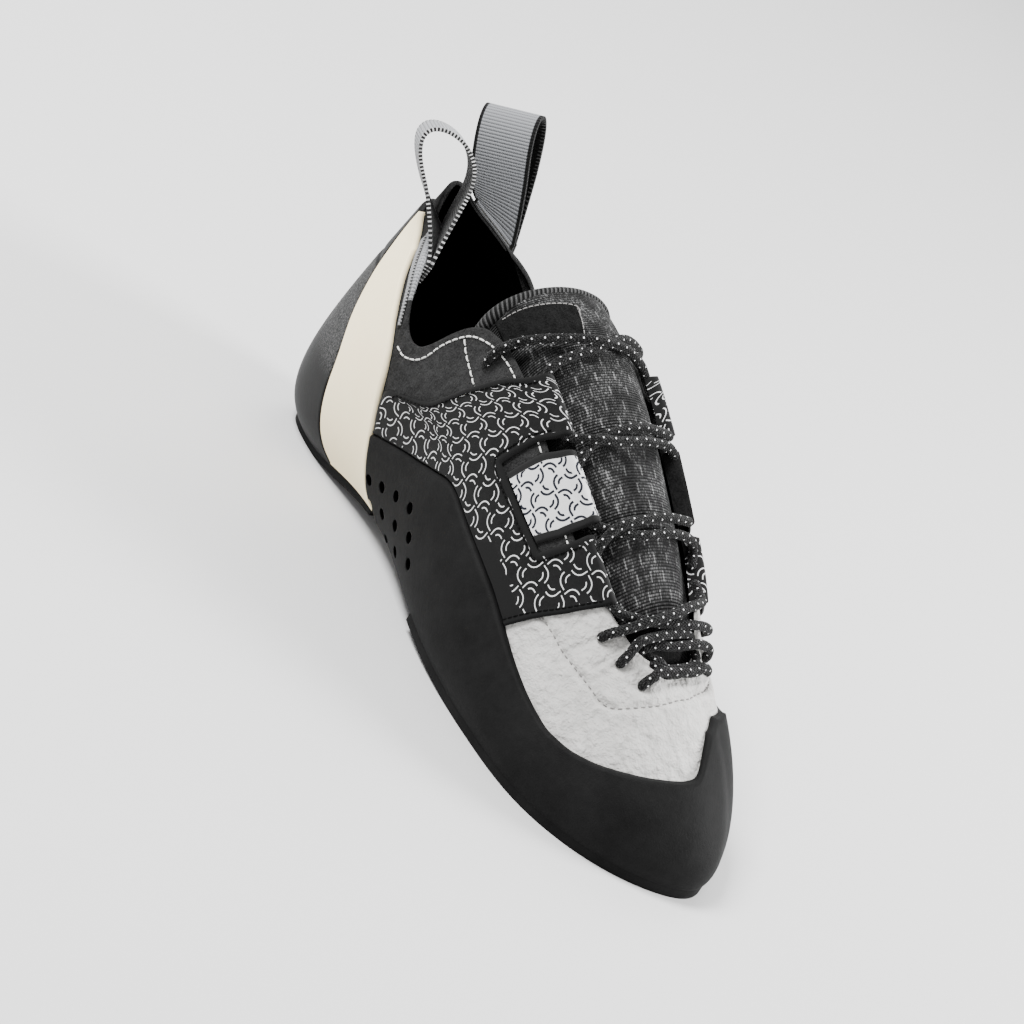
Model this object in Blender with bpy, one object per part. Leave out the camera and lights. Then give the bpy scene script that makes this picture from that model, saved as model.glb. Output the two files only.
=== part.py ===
"""A lace-up climbing shoe for the right foot, empty and standing on its sole.

Frame: metres, +X towards the toe, +Y towards the inner (medial) side, +Z up. The origin is the
middle of the heel's flat spot on the floor.

Every piece of the upper follows one form, the last. A place on it is a station s, counted from
the heel back (0) along the outer side to the toe (11) and back along the inner side (22), and a
height t, which is 0 at the feather edge over the sole, 1 at the throat and 2 at the throat of the
other side, straight over the instep.
"""
import math

import bmesh
import bpy
import numpy as np
from mathutils import Vector

# Driving sizes of the last
SHOE_LENGTH = 0.250
BALL_WIDTH = 0.080
COLLAR_HEIGHT = 0.095
HEEL_SEAT = 0.112 * SHOE_LENGTH
INSTEP_FULLNESS = 0.42

# Thicknesses and clearances
CLEARANCE = 0.0003
LAYER_GAP = 0.0005
SOLE_GAP = 0.0005
WALL = 0.0016
OUTSOLE = 0.0037
HEEL_TIP_RUBBER = 0.0015
MIDSOLE = 0.0017
INSOLE = 0.0016
RAND = 0.0018
CUP = 0.0018
BAND = 0.0018
OVERLAY = 0.0011
FINGER_FOLD = 0.0030
TONGUE = 0.0045
PATCH = 0.0010
BINDING = 0.0044
LACE = 0.0032
WEBBING = 0.0012

# Sizes that can be set by themselves
EYELET = 0.0036
PERFORATION = 0.0034
WEBBING_WIDTH = 0.0205
LOOP_OPENING = 0.019
LOOP_SEAT = 0.006
SOLE_LEDGE = 0.0005
PLATE_INSET = WALL + CLEARANCE
FEATHER = OUTSOLE + SOLE_GAP

MERGE = 0.000001
STATIONS = 22
TOE = STATIONS // 2
STEP = 0.25
SOLE_STEP = 0.5
HEEL_RUBBER_END = 3.4
FRONT_RUBBER_START = 5.2
SEAM_S = 0.022
SEAM_T = 0.008

# The last's ribs. A rib is a curve from the feather edge to the throat. x is a share of
# SHOE_LENGTH, y and the two outward handles are shares of BALL_WIDTH, and the rise, the heights
# and the handles' heights are shares of COLLAR_HEIGHT.
RIB_COLUMNS = ("x", "y", "rise", "low_out", "low_up", "high_out", "high_down", "top_x", "top_y", "top_z")
RIBS = (
    ("heel_back",          0.028, 0.000, 0.000, 0.210, 0.15, 0.110, 0.34, 0.042, 0.000, 1.010),
    ("heel_outer",         0.052, -0.150, 0.000, 0.200, 0.14, 0.060, 0.34, 0.082, -0.105, 0.970),
    ("heel_side_outer",    0.136, -0.210, 0.000, 0.175, 0.15, 0.090, 0.36, 0.152, -0.245, 0.925),
    ("arch_rear_outer",    0.248, -0.240, 0.050, 0.150, 0.17, 0.060, 0.36, 0.248, -0.340, 0.885),
    ("arch_outer",         0.368, -0.300, 0.070, 0.125, 0.17, 0.075, 0.315, 0.352, -0.325, 0.885),
    ("arch_front_outer",   0.480, -0.390, 0.045, 0.100, 0.16, 0.110, 0.275, 0.460, -0.325, 0.810),
    ("ball_rear_outer",    0.600, -0.450, 0.010, 0.100, 0.135, 0.140, 0.21, 0.580, -0.300, 0.675),
    ("ball_outer",         0.712, -0.470, 0.000, 0.100, 0.125, 0.150, 0.15, 0.688, -0.250, 0.550),
    ("little_toe",         0.816, -0.450, 0.000, 0.075, 0.115, 0.150, 0.095, 0.760, -0.175, 0.475),
    ("toe_outer",          0.904, -0.325, 0.000, 0.075, 0.115, 0.160, 0.050, 0.792, -0.090, 0.450),
    ("toe_corner",         0.960, -0.140, 0.000, 0.075, 0.115, 0.190, 0.030, 0.804, -0.025, 0.440),
    ("toe_tip",            0.980, 0.040, 0.000, 0.075, 0.115, 0.210, 0.020, 0.808, 0.025, 0.440),
    ("toe_inner",          0.958, 0.170, 0.000, 0.065, 0.115, 0.160, 0.020, 0.804, 0.075, 0.445),
    ("big_toe",            0.912, 0.290, 0.000, 0.070, 0.125, 0.150, 0.030, 0.792, 0.140, 0.460),
    ("big_toe_joint",      0.824, 0.380, 0.000, 0.075, 0.150, 0.125, 0.075, 0.760, 0.210, 0.495),
    ("ball_inner",         0.720, 0.425, 0.000, 0.105, 0.17, 0.140, 0.15, 0.688, 0.290, 0.580),
    ("ball_rear_inner",    0.600, 0.375, 0.030, 0.100, 0.19, 0.140, 0.21, 0.580, 0.325, 0.715),
    ("arch_front_inner",   0.480, 0.290, 0.085, 0.110, 0.21, 0.110, 0.275, 0.460, 0.325, 0.865),
    ("arch_inner",         0.368, 0.240, 0.105, 0.140, 0.23, 0.075, 0.315, 0.352, 0.350, 0.925),
    ("arch_rear_inner",    0.248, 0.225, 0.065, 0.150, 0.21, 0.060, 0.36, 0.248, 0.350, 0.925),
    ("heel_side_inner",    0.136, 0.210, 0.000, 0.175, 0.15, 0.090, 0.36, 0.152, 0.245, 0.945),
    ("heel_inner",         0.052, 0.150, 0.000, 0.200, 0.14, 0.060, 0.34, 0.082, 0.115, 1.015),
)

# Edges of the pieces on the outer side, as pairs of (station, height) or (height, station).
# The inner side is their mirror unless it has a table of its own.
COLLAR_EDGE = ((0.0, 1.0), (0.25, 1.0), (0.5, 0.985), (0.75, 0.955), (1.0, 0.94), (1.75, 0.94),
               (2.0, 0.91), (2.4, 0.84), (2.75, 0.775), (3.05, 0.765), (3.25, 0.80), (3.5, 0.92),
               (3.75, 0.99), (4.25, 1.03), (5.0, 1.05), (5.75, 1.03), (6.5, 1.0), (11.0, 1.0))
BAND_REAR = ((0.0, 2.75), (0.08, 2.50), (0.18, 2.30), (0.26, 2.20), (0.39, 2.10), (0.53, 1.80),
             (0.60, 1.40), (0.66, 1.10), (0.74, 0.98), (0.86, 1.05), (0.93, 1.12))
BAND_FRONT = ((0.0, 3.95), (0.11, 3.75), (0.17, 3.60), (0.29, 3.40), (0.46, 3.25), (0.57, 3.12),
              (0.65, 2.98), (0.73, 2.78), (0.80, 2.50), (0.86, 2.20), (0.92, 1.90))
RAND_TOP = ((3.2, 0.44), (3.65, 0.46), (4.05, 0.49), (4.5, 0.55), (4.9, 0.61), (5.25, 0.635),
            (5.7, 0.63), (6.15, 0.60), (6.6, 0.55), (7.3, 0.47), (7.7, 0.43), (8.2, 0.40),
            (8.8, 0.44), (9.65, 0.50), (10.3, 0.53), (10.75, 0.56), (11.0, 0.69), (11.25, 0.74),
            (12.25, 0.76), (13.0, 0.72), (13.75, 0.60), (14.5, 0.50), (15.25, 0.48), (16.2, 0.55),
            (16.75, 0.60), (17.5, 0.55), (18.0, 0.50), (18.8, 0.44))
OVERLAY_REAR = ((0.44, 3.34), (0.58, 3.16), (0.62, 3.45), (0.66, 3.90), (0.74, 4.15), (0.85, 4.35),
                (0.97, 4.58), (1.07, 4.75), (1.20, 4.92))
OVERLAY_FRONT = ((0.54, 6.60), (0.67, 6.80), (0.82, 7.05), (0.94, 7.20), (1.09, 7.35), (1.20, 7.38))
WINDOW_FLOOR = 0.84
WINDOW_REAR = ((0.84, 5.30), (1.03, 5.42), (1.25, 5.62))
WINDOW_FRONT = ((0.84, 6.30), (0.96, 6.42), (1.25, 6.55))
TAB_REAR_GAP = 0.14
TAB_FRONT_GAP = 0.10
FINGER_END = ((4.5, 1.20), (5.7, 1.19), (6.5, 1.15), (7.4, 1.14))

# Each side's name, its way from outer stations to its own, and the order of its columns
SIDES = (("lateral", lambda s: s, 1), ("medial", lambda s: STATIONS - s, -1))

# Pull loops: station of the middle, length over the rim, how far the loop is turned back in its
# own plane, how far its top leans out, and where its outer leg lies over the last
PULL_LOOPS = (
    ("lateral", 1.50, 0.034, math.radians(15), 0.008, -WALL - 0.0010 - WEBBING / 2),
    ("medial", STATIONS - 1.25, 0.039, math.radians(20), 0.003,
     LAYER_GAP + BAND + 2 * CLEARANCE + 1.5 * WEBBING),
)

# Cord paths: each place is a station, a height over the instep and a lift in lace thicknesses
LACE_CROSSINGS = (
    ("lace_crossing_1",
     ((4.30, 1.09, 0.2), (4.44, 1.16, 0.3), (4.56, 1.29, 0.6), (4.67, 1.45, 0.9), (4.72, 1.60, 0.5),
      (4.86, 1.78, 0.3)),
     ((4.86, 1.22, 0.3), (4.76, 1.36, 0.2), (4.69, 1.47, 0.1), (4.56, 1.64, 0.2), (4.44, 1.84, 0.2),
      (4.30, 1.91, 0.2))),
    ("lace_crossing_2",
     ((5.60, 1.23, 0.7), (5.70, 1.30, 0.7), (5.77, 1.42, 0.2), (5.76, 1.60, 0.1), (5.76, 1.78, 0.2)),
     ((5.77, 1.21, 0.2), (5.68, 1.29, 0.1), (5.57, 1.42, 0.1), (5.54, 1.60, 0.1), (5.54, 1.78, 0.2))),
    ("lace_crossing_3",
     ((6.46, 1.20, 0.2), (6.56, 1.27, 0.1), (6.68, 1.40, 0.1), (6.66, 1.60, 0.1), (6.62, 1.80, 0.2)),
     ((6.60, 1.21, 0.7), (6.52, 1.28, 0.7), (6.46, 1.42, 0.2), (6.42, 1.60, 0.1), (6.38, 1.79, 0.2))),
    ("lace_crossing_4",
     ((7.47, 1.86, 0.4), (7.60, 1.72, 0.7), (7.76, 1.45, 0.7), (7.80, 1.22, 0.4), (7.74, 1.08, 0.3)),
     ((7.47, 1.14, 0.2), (7.62, 1.25, 0.1), (7.74, 1.47, 0.0), (7.68, 1.72, 0.1), (7.60, 1.90, 0.3))),
)
LACE_BARS = (
    ("lace_bar_1",
     ((8.16, 1.09, 0.3), (8.12, 1.22, 0.1), (8.10, 1.50, 0.1), (8.07, 1.75, 0.1), (8.00, 1.90, 0.3))),
    ("lace_bar_2",
     ((8.54, 1.10, 0.3), (8.52, 1.24, 0.1), (8.50, 1.50, 0.1), (8.46, 1.72, 0.1), (8.38, 1.89, 0.3))),
    ("lace_bar_3",
     ((9.0, 0.98, 0.62), (9.2, 1.25, 0.66), (9.28, 1.5, 0.68), (9.2, 1.75, 0.66), (9.0, 2.02, 0.62))),
)


def rib_table():
    """Every rib's lengths in metres, one row for each station."""
    unit = dict(x=SHOE_LENGTH, y=BALL_WIDTH, low_out=BALL_WIDTH, high_out=BALL_WIDTH,
                top_x=SHOE_LENGTH, top_y=BALL_WIDTH)
    sizes = [unit.get(column, COLLAR_HEIGHT) for column in RIB_COLUMNS]
    return np.array([row[1:] for row in RIBS]) * np.array(sizes)


def spline_bends(values):
    """Second derivatives of the closed cubic spline through the rows of values."""
    count = len(values)
    system = 4 * np.eye(count) + np.roll(np.eye(count), 1, 0) + np.roll(np.eye(count), -1, 0)
    return np.linalg.solve(system, 6 * (np.roll(values, -1, 0) - 2 * values + np.roll(values, 1, 0)))


TABLE = rib_table()
BENDS = spline_bends(TABLE)


def rib_row(s):
    """The rib's lengths at station s, between the rows of the table."""
    near = math.floor(s)
    b = s - near
    a = 1 - b
    i, j = near % STATIONS, (near + 1) % STATIONS
    return a * TABLE[i] + b * TABLE[j] + ((a**3 - a) * BENDS[i] + (b**3 - b) * BENDS[j]) / 6


def outward(s):
    """The level direction straight out of the last at station s."""
    step = rib_row(s + 0.001) - rib_row(s - 0.001)
    return Vector((step[1], -step[0], 0)).normalized()


def rib_points(s):
    """The four points of the rib's curve at station s."""
    x, y, rise, low_out, low_up, high_out, high_down, top_x, top_y, top_z = rib_row(s)
    out = outward(s)
    foot = Vector((x - HEEL_SEAT, y, FEATHER + rise))
    top = Vector((top_x - HEEL_SEAT, top_y, FEATHER + top_z))
    low = foot + out * low_out + Vector((0, 0, low_up))
    high = top + out * high_out - Vector((0, 0, high_down))
    return foot, low, high, top


def bezier(points, b):
    """The place at share b along a cubic curve with these four points."""
    a = 1 - b
    return a**3 * points[0] + 3 * a * a * b * points[1] + 3 * a * b * b * points[2] + b**3 * points[3]


def last(s, t):
    """The last's surface: up the rib of this side, then over the instep to the other side."""
    if t > 2:
        return last(STATIONS - s, 3 - t)
    near = rib_points(s)
    if t <= 1:
        return bezier(near, t)
    far = rib_points(STATIONS - s)
    reach = INSTEP_FULLNESS * (far[3] - near[3]).length
    rise = near[3] + (near[3] - near[2]).normalized() * reach
    fall = far[3] + (far[3] - far[2]).normalized() * reach
    return bezier((near[3], rise, fall, far[3]), t - 1)


def raised(form, s, t, height):
    """A place on a form, moved along the form's outward normal."""
    e = 0.002
    along = form(s + e, t) - form(s - e, t)
    up = form(s, t + e) - form(s, t - e)
    return form(s, t) + along.cross(up).normalized() * height


def on_last(height):
    """The last's surface at an even height above its form."""
    return lambda s, t: raised(last, s, t, height)


def read(table, place):
    """A piece's edge between the pairs of its table."""
    return float(np.interp(place, [pair[0] for pair in table], [pair[1] for pair in table]))


def outer_station(s):
    """The station of the outer side that lies opposite s, or s itself."""
    return s if s <= TOE else STATIONS - s


def spread(first, end, step=STEP):
    """Stations from first to end that fall on the last's own lattice, with both ends."""
    inside = [k * step for k in range(math.ceil(first / step), math.floor(end / step) + 1)]
    return sorted({round(value, 6) for value in (first, end, *inside)})


def make_material(name, colour, roughness):
    material = bpy.data.materials.new(name)
    material.use_nodes = True
    shader = material.node_tree.nodes["Principled BSDF"]
    shader.inputs["Base Color"].default_value = (*colour, 1)
    shader.inputs["Roughness"].default_value = roughness
    shader.inputs["Metallic"].default_value = 0.0
    material.diffuse_color = (*colour, 1)
    return material


def add_object(name, mesh, colour, roughness, group):
    thing = bpy.data.objects.new(name, mesh)
    thing.data.materials.append(make_material(name, colour, roughness))
    group.objects.link(thing)
    return thing


def add_cutter(name, mesh, group):
    cutter = bpy.data.objects.new(name, mesh)
    cutter.hide_render = True
    cutter.display_type = "WIRE"
    group.objects.link(cutter)
    return cutter


def apply_boolean(thing, cutter, operation):
    modifier = thing.modifiers.new(cutter.name, "BOOLEAN")
    modifier.operation = operation
    modifier.solver = "EXACT"
    modifier.object = cutter


def shell_mesh(name, columns, rows, low, high, fit=lambda s, t: (s, t), gap=lambda s, t: False):
    """A closed wall. A grid is laid on the low face, and its faces are extruded as one region
    and set on the high face, so both faces of the wall follow their own form. The fit moves a
    grid place to its station and height, and faces in a gap are left out."""
    mesh = bmesh.new()
    bmesh.ops.create_grid(mesh, x_segments=len(columns) - 1, y_segments=len(rows) - 1, size=1)
    station = mesh.verts.layers.float.new("station")
    height = mesh.verts.layers.float.new("height")
    for vert in mesh.verts:
        i = round((vert.co.x + 1) / 2 * (len(columns) - 1))
        j = round((vert.co.y + 1) / 2 * (len(rows) - 1))
        vert.co = (columns[i], rows[j], 0)
    open_faces = [face for face in mesh.faces if gap(*face.calc_center_median().xy)]
    bmesh.ops.delete(mesh, geom=open_faces, context="FACES")
    for vert in mesh.verts:
        vert[station], vert[height] = fit(vert.co.x, vert.co.y)
        vert.co = low(vert[station], vert[height])
    bmesh.ops.remove_doubles(mesh, verts=mesh.verts, dist=MERGE)
    bmesh.ops.triangulate(mesh, faces=mesh.faces, quad_method="FIXED")
    copied = bmesh.ops.extrude_face_region(mesh, geom=mesh.faces[:])
    for vert in copied["geom"]:
        if isinstance(vert, bmesh.types.BMVert):
            vert.co = high(vert[station], vert[height])
    data = bpy.data.meshes.new(name)
    mesh.to_mesh(data)
    mesh.free()
    data.shade_smooth()
    data.set_sharp_from_angle(angle=math.radians(40))
    return data


def plate(s, v, edge, level):
    """A place on a sole layer: v runs from the outer feather edge to the inner one."""
    outer = rib_points(s)[0] + outward(s) * edge
    inner = rib_points(STATIONS - s)[0] + outward(STATIONS - s) * edge
    place = outer.lerp(inner, v)
    place.z += level
    return place


def cord_mesh(name, places, thickness, sides):
    """A round cord along a smooth curve through the places, with welded end caps."""
    curve = bpy.data.curves.new(name, "CURVE")
    curve.dimensions = "3D"
    curve.bevel_depth = thickness / 2
    curve.bevel_resolution = sides
    curve.use_fill_caps = True
    line = curve.splines.new("POLY")
    line.points.add(len(places) - 1)
    for point, place in zip(line.points, places):
        point.co = (*place, 1)
    source = bpy.data.objects.new(name, curve)
    bpy.context.scene.collection.objects.link(source)
    evaluated = source.evaluated_get(bpy.context.evaluated_depsgraph_get())
    mesh = bpy.data.meshes.new_from_object(evaluated)
    bpy.data.objects.remove(source)
    weld = bmesh.new()
    weld.from_mesh(mesh)
    bmesh.ops.remove_doubles(weld, verts=weld.verts, dist=MERGE)
    weld.to_mesh(mesh)
    weld.free()
    mesh.name = name
    mesh.shade_smooth()
    return mesh


def smooth_path(places, count):
    """Points at even steps on a Catmull-Rom curve through the places."""
    ends = [2 * places[0] - places[1], *places, 2 * places[-1] - places[-2]]
    path = []
    for step in range(count):
        where = step / (count - 1) * (len(places) - 1)
        k = min(int(where), len(places) - 2)
        u = where - k
        p, q, r, z = ends[k:k + 4]
        path.append(q + (r - p) * (u / 2) + (2 * p - 5 * q + 4 * r - z) * (u * u / 2)
                    + (3 * q - p - 3 * r + z) * (u**3 / 2))
    return path


def hole_cutter(name, places, diameter, group):
    """One cutter with a rod through the wall at each (station, height)."""
    mesh = bmesh.new()
    for s, t in places:
        inner, outer = raised(last, s, t, -3 * WALL), raised(last, s, t, 4 * RAND)
        turn = (outer - inner).to_track_quat("Z", "Y").to_matrix().to_4x4()
        turn.translation = (inner + outer) / 2
        bmesh.ops.create_cone(mesh, cap_ends=True, segments=8, radius1=diameter / 2,
                              radius2=diameter / 2, depth=(outer - inner).length, matrix=turn)
    data = bpy.data.meshes.new(name)
    mesh.to_mesh(data)
    mesh.free()
    return add_cutter(name, data, group)


def mirrored(places):
    """The same places on the inner side, after those of the outer side."""
    return [*places, *[(STATIONS - s, t) for s, t in places]]


def collar_edge(s):
    return read(COLLAR_EDGE, outer_station(s))


def make_upper(parts, cutters):
    rows = [k / 8 for k in range(9)]
    notch = [3.125, 3.375, STATIONS - 3.375, STATIONS - 3.125]
    columns = sorted([k * STEP for k in range(int(STATIONS / STEP) + 1)] + notch)
    mesh = shell_mesh("upper", columns, rows, on_last(-WALL), on_last(0),
                      lambda s, t: (s, t * collar_edge(s)))
    upper = add_object("upper", mesh, (0.70, 0.69, 0.66), 0.9, parts)
    eyelets = mirrored([(4.02, 0.965), (7.6, 0.93), (8.2, 0.93), (9.0, 0.90)])
    apply_boolean(upper, hole_cutter("eyelet_cutter", eyelets, EYELET, cutters), "DIFFERENCE")
    return upper


def make_soles(parts):
    """Outsole rubber at the front and at the heel, the board and the insole."""
    ledge = RAND + LAYER_GAP + SOLE_LEDGE
    rear_stations = spread(0, HEEL_RUBBER_END, SOLE_STEP)
    front_stations = spread(FRONT_RUBBER_START, TOE, SOLE_STEP)
    stations = sorted({*rear_stations, *front_stations, *spread(0, TOE, SOLE_STEP)})
    across = [0, 0.2, 0.5, 0.8, 1]

    def ground(s, v, edge, thickness):
        place = plate(s, v, edge, -SOLE_GAP - thickness)
        place.z = max(place.z, 0)
        return place

    def heel_rubber(s):
        return read(((2.3, OUTSOLE), (HEEL_RUBBER_END, HEEL_TIP_RUBBER)), s)

    front = shell_mesh("outsole_front", front_stations, across,
                       lambda s, v: ground(s, v, ledge, OUTSOLE),
                       lambda s, v: plate(s, v, ledge, -SOLE_GAP))
    add_object("outsole_front", front, (0.012, 0.012, 0.013), 0.65, parts)
    heel = shell_mesh("outsole_heel", rear_stations, across,
                      lambda s, v: ground(s, v, ledge, heel_rubber(s)),
                      lambda s, v: plate(s, v, ledge, -SOLE_GAP))
    add_object("outsole_heel", heel, (0.012, 0.012, 0.013), 0.65, parts)
    board = shell_mesh("midsole", stations, across,
                       lambda s, v: plate(s, v, -PLATE_INSET, 0),
                       lambda s, v: plate(s, v, -PLATE_INSET, MIDSOLE))
    add_object("midsole", board, (0.03, 0.03, 0.03), 0.8, parts)
    sock = shell_mesh("insole", stations, across,
                      lambda s, v: plate(s, v, -PLATE_INSET, MIDSOLE + CLEARANCE),
                      lambda s, v: plate(s, v, -PLATE_INSET, MIDSOLE + CLEARANCE + INSOLE))
    add_object("insole", sock, (0.05, 0.05, 0.05), 0.95, parts)


def outer_layer(thickness):
    """Inner and outer face of a piece that lies on the upper."""
    return on_last(LAYER_GAP), on_last(LAYER_GAP + thickness)


def foot_row(thickness):
    """The height at which a layer's lower rim clears the sole's flat top."""
    return (LAYER_GAP + thickness) * 0.6 / (3 * 0.135 * COLLAR_HEIGHT)


def make_rand(parts, cutters):
    def fit(s, t):
        t = min(t, read(RAND_TOP, s))
        near = max(outer_station(s), read(BAND_FRONT, t) + SEAM_S)
        return near if s <= TOE else STATIONS - near, t

    low, high = outer_layer(RAND)
    rows = [foot_row(RAND), 0.1, 0.2, 0.3, 0.4, 0.5, 0.6, 0.7, 0.8]
    mesh = shell_mesh("rand", spread(3.2, 18.8), rows, low, high, fit)
    rand = add_object("rand", mesh, (0.020, 0.020, 0.021), 0.75, parts)
    holes = []
    for s, t, count in ((3.62, 0.26, 4), (3.84, 0.17, 4), (4.30, 0.11, 3)):
        holes += [(s + k * 0.325, t + k * 0.042) for k in range(count)]
    cutter = hole_cutter("perforation_cutter", holes, PERFORATION, cutters)
    apply_boolean(rand, cutter, "DIFFERENCE")


def make_heel(parts):
    """The black cup at the back and the cream band on each side of it."""
    cup_top = ((0, 0.90), (0.5, 0.89), (1.0, 0.87))

    def cup_fit(s, t):
        t = min(t, read(cup_top, abs(s)))
        limit = read(BAND_REAR, t) - SEAM_S
        return max(-limit, min(limit, s)), t

    rows = [foot_row(CUP), 0.1, 0.2, 0.3, 0.4, 0.5, 0.6, 0.7, 0.8, 0.9]
    low, high = outer_layer(CUP)
    mesh = shell_mesh("heel_cup", spread(-2.75, 2.75), rows, low, high, cup_fit)
    add_object("heel_cup", mesh, (0.020, 0.020, 0.021), 0.6, parts)

    def band_fit(s, t):
        return max(read(BAND_REAR, t), min(read(BAND_FRONT, t), s)), t

    rows = [foot_row(BAND), 0.1, 0.2, 0.3, 0.4, 0.5, 0.6, 0.7, 0.8, 0.86, 0.915]
    low, high = outer_layer(BAND)
    mesh = shell_mesh("slingshot_band_lateral", spread(0.98, 3.95), rows, low, high, band_fit)
    add_object("slingshot_band_lateral", mesh, (0.82, 0.76, 0.63), 0.5, parts)

    def inner_fit(s, t):
        return STATIONS - band_fit(STATIONS - s, t)[0], t

    columns = spread(STATIONS - 3.95, STATIONS - 0.98)
    mesh = shell_mesh("slingshot_band_medial", columns, rows, low, high, inner_fit)
    add_object("slingshot_band_medial", mesh, (0.82, 0.76, 0.63), 0.5, parts)


def finger_face(s, t):
    """The overlay's outer face, thicker at the finger ends, where it is folded over the lace."""
    fold = read(((0.05, 1), (0.09, 0)), read(FINGER_END, outer_station(s)) - t)
    return raised(last, s, t, LAYER_GAP + OVERLAY + (FINGER_FOLD - OVERLAY) * fold)


def overlay_station(column, t):
    """Columns 0 to 4 are the rear finger, 4 to 8 the window and 8 to 12 the front finger."""
    edges = [read(table, t) for table in (OVERLAY_REAR, WINDOW_REAR, WINDOW_FRONT, OVERLAY_FRONT)]
    return float(np.interp(column, (0, 4, 8, 12), edges))


def make_overlays(parts):
    """The printed microfibre panel of each side, with a window between its two fingers."""
    columns = [0, 1, 2, 3, 4, 5, 6, 7, 8, 9.4, 10.7, 12]
    rows = [0, 1 / 6, 1 / 3, 1 / 2, 2 / 3, 5 / 6, 1, 1.3, 1.55, 1.75, 1.87, 2]

    def fit(column, row, turn):
        bottom = OVERLAY_REAR[0][0]
        for _ in range(8):
            bottom = read(RAND_TOP, turn(overlay_station(column, bottom))) + 2 * SEAM_T
        end = read(FINGER_END, overlay_station(column, 1.1))
        t = read(((0, bottom), (1, WINDOW_FLOOR), (2, end)), row)
        return turn(overlay_station(column, t)), t

    for name, turn, order in SIDES:
        mesh = shell_mesh("overlay_" + name, columns[::order], rows, on_last(LAYER_GAP), finger_face,
                          lambda column, row, turn=turn: fit(column, row, turn),
                          lambda column, row: 4 < column < 8 and row > 1)
        add_object("overlay_" + name, mesh, (0.025, 0.025, 0.027), 0.8, parts)


def make_middle_tabs(parts):
    """A folded lace loop in each window: white on the outer side, black suede on the inner."""
    rows = [0.865, 0.92, 1.0, 1.08, 1.17]
    low, high = outer_layer(0.6 * FINGER_FOLD)
    colours = {"lateral": (0.75, 0.74, 0.72), "medial": (0.03, 0.03, 0.03)}
    for name, turn, order in SIDES:
        def fit(share, t, turn=turn):
            rear = read(WINDOW_REAR, t) + TAB_REAR_GAP
            return turn(rear + (read(WINDOW_FRONT, t) - TAB_FRONT_GAP - rear) * share), t

        mesh = shell_mesh("middle_tab_" + name, [0, 0.25, 0.5, 0.75, 1][::order], rows, low, high, fit)
        add_object("middle_tab_" + name, mesh, colours[name], 0.85, parts)


TONGUE_TOP_FACE = -WALL - CLEARANCE
TONGUE_END = 3.72


def make_tongue(parts):
    """The padded tongue under the throat, with its bound top edge and suede patch."""
    rows = [0.88, 0.97, 1.06, 1.16, 1.32, 1.5, 1.68, 1.84, 1.94, 2.03, 2.12]
    mesh = shell_mesh("tongue", spread(TONGUE_END, 10.5, SOLE_STEP), rows,
                      on_last(TONGUE_TOP_FACE - TONGUE), on_last(TONGUE_TOP_FACE))
    add_object("tongue", mesh, (0.04, 0.04, 0.042), 0.9, parts)

    middle = TONGUE_TOP_FACE - TONGUE / 2
    reach = BINDING / 2 + CLEARANCE
    edge = []
    for k in range(17):
        t = 0.97 + k / 16 * 1.06
        rear = raised(last, TONGUE_END, t, middle)
        ahead = (rear - raised(last, TONGUE_END + 0.1, t, middle)).normalized()
        edge.append(rear + ahead * reach)
    binding = cord_mesh("tongue_binding", edge, BINDING, 2)
    add_object("tongue_binding", binding, (0.03, 0.03, 0.03), 0.9, parts)

    face = TONGUE_TOP_FACE + CLEARANCE
    patch = shell_mesh("tongue_patch", [3.80, 4.0, 4.22], [1.12, 1.20, 1.30, 1.40, 1.50, 1.60],
                       on_last(face), on_last(face + PATCH))
    add_object("tongue_patch", patch, (0.05, 0.05, 0.05), 0.95, parts)


def lace_place(s, t, lift):
    """A lace centre over the tongue: lift counts lace thicknesses above lying on it."""
    return raised(last, s, t, TONGUE_TOP_FACE + CLEARANCE + LACE * (0.5 + lift))


def lace_cord(name, places):
    return cord_mesh(name, smooth_path([lace_place(*place) for place in places], 12), LACE, 2)


def make_laces(parts, cutters):
    for name, first, second in LACE_CROSSINGS:
        crossing = add_object(name, lace_cord(name, first), (0.03, 0.03, 0.032), 0.85, parts)
        other = add_cutter(name + "_second", lace_cord(name + "_second", second), cutters)
        apply_boolean(crossing, other, "UNION")
    for name, places in LACE_BARS:
        add_object(name, lace_cord(name, places), (0.03, 0.03, 0.032), 0.85, parts)


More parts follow.
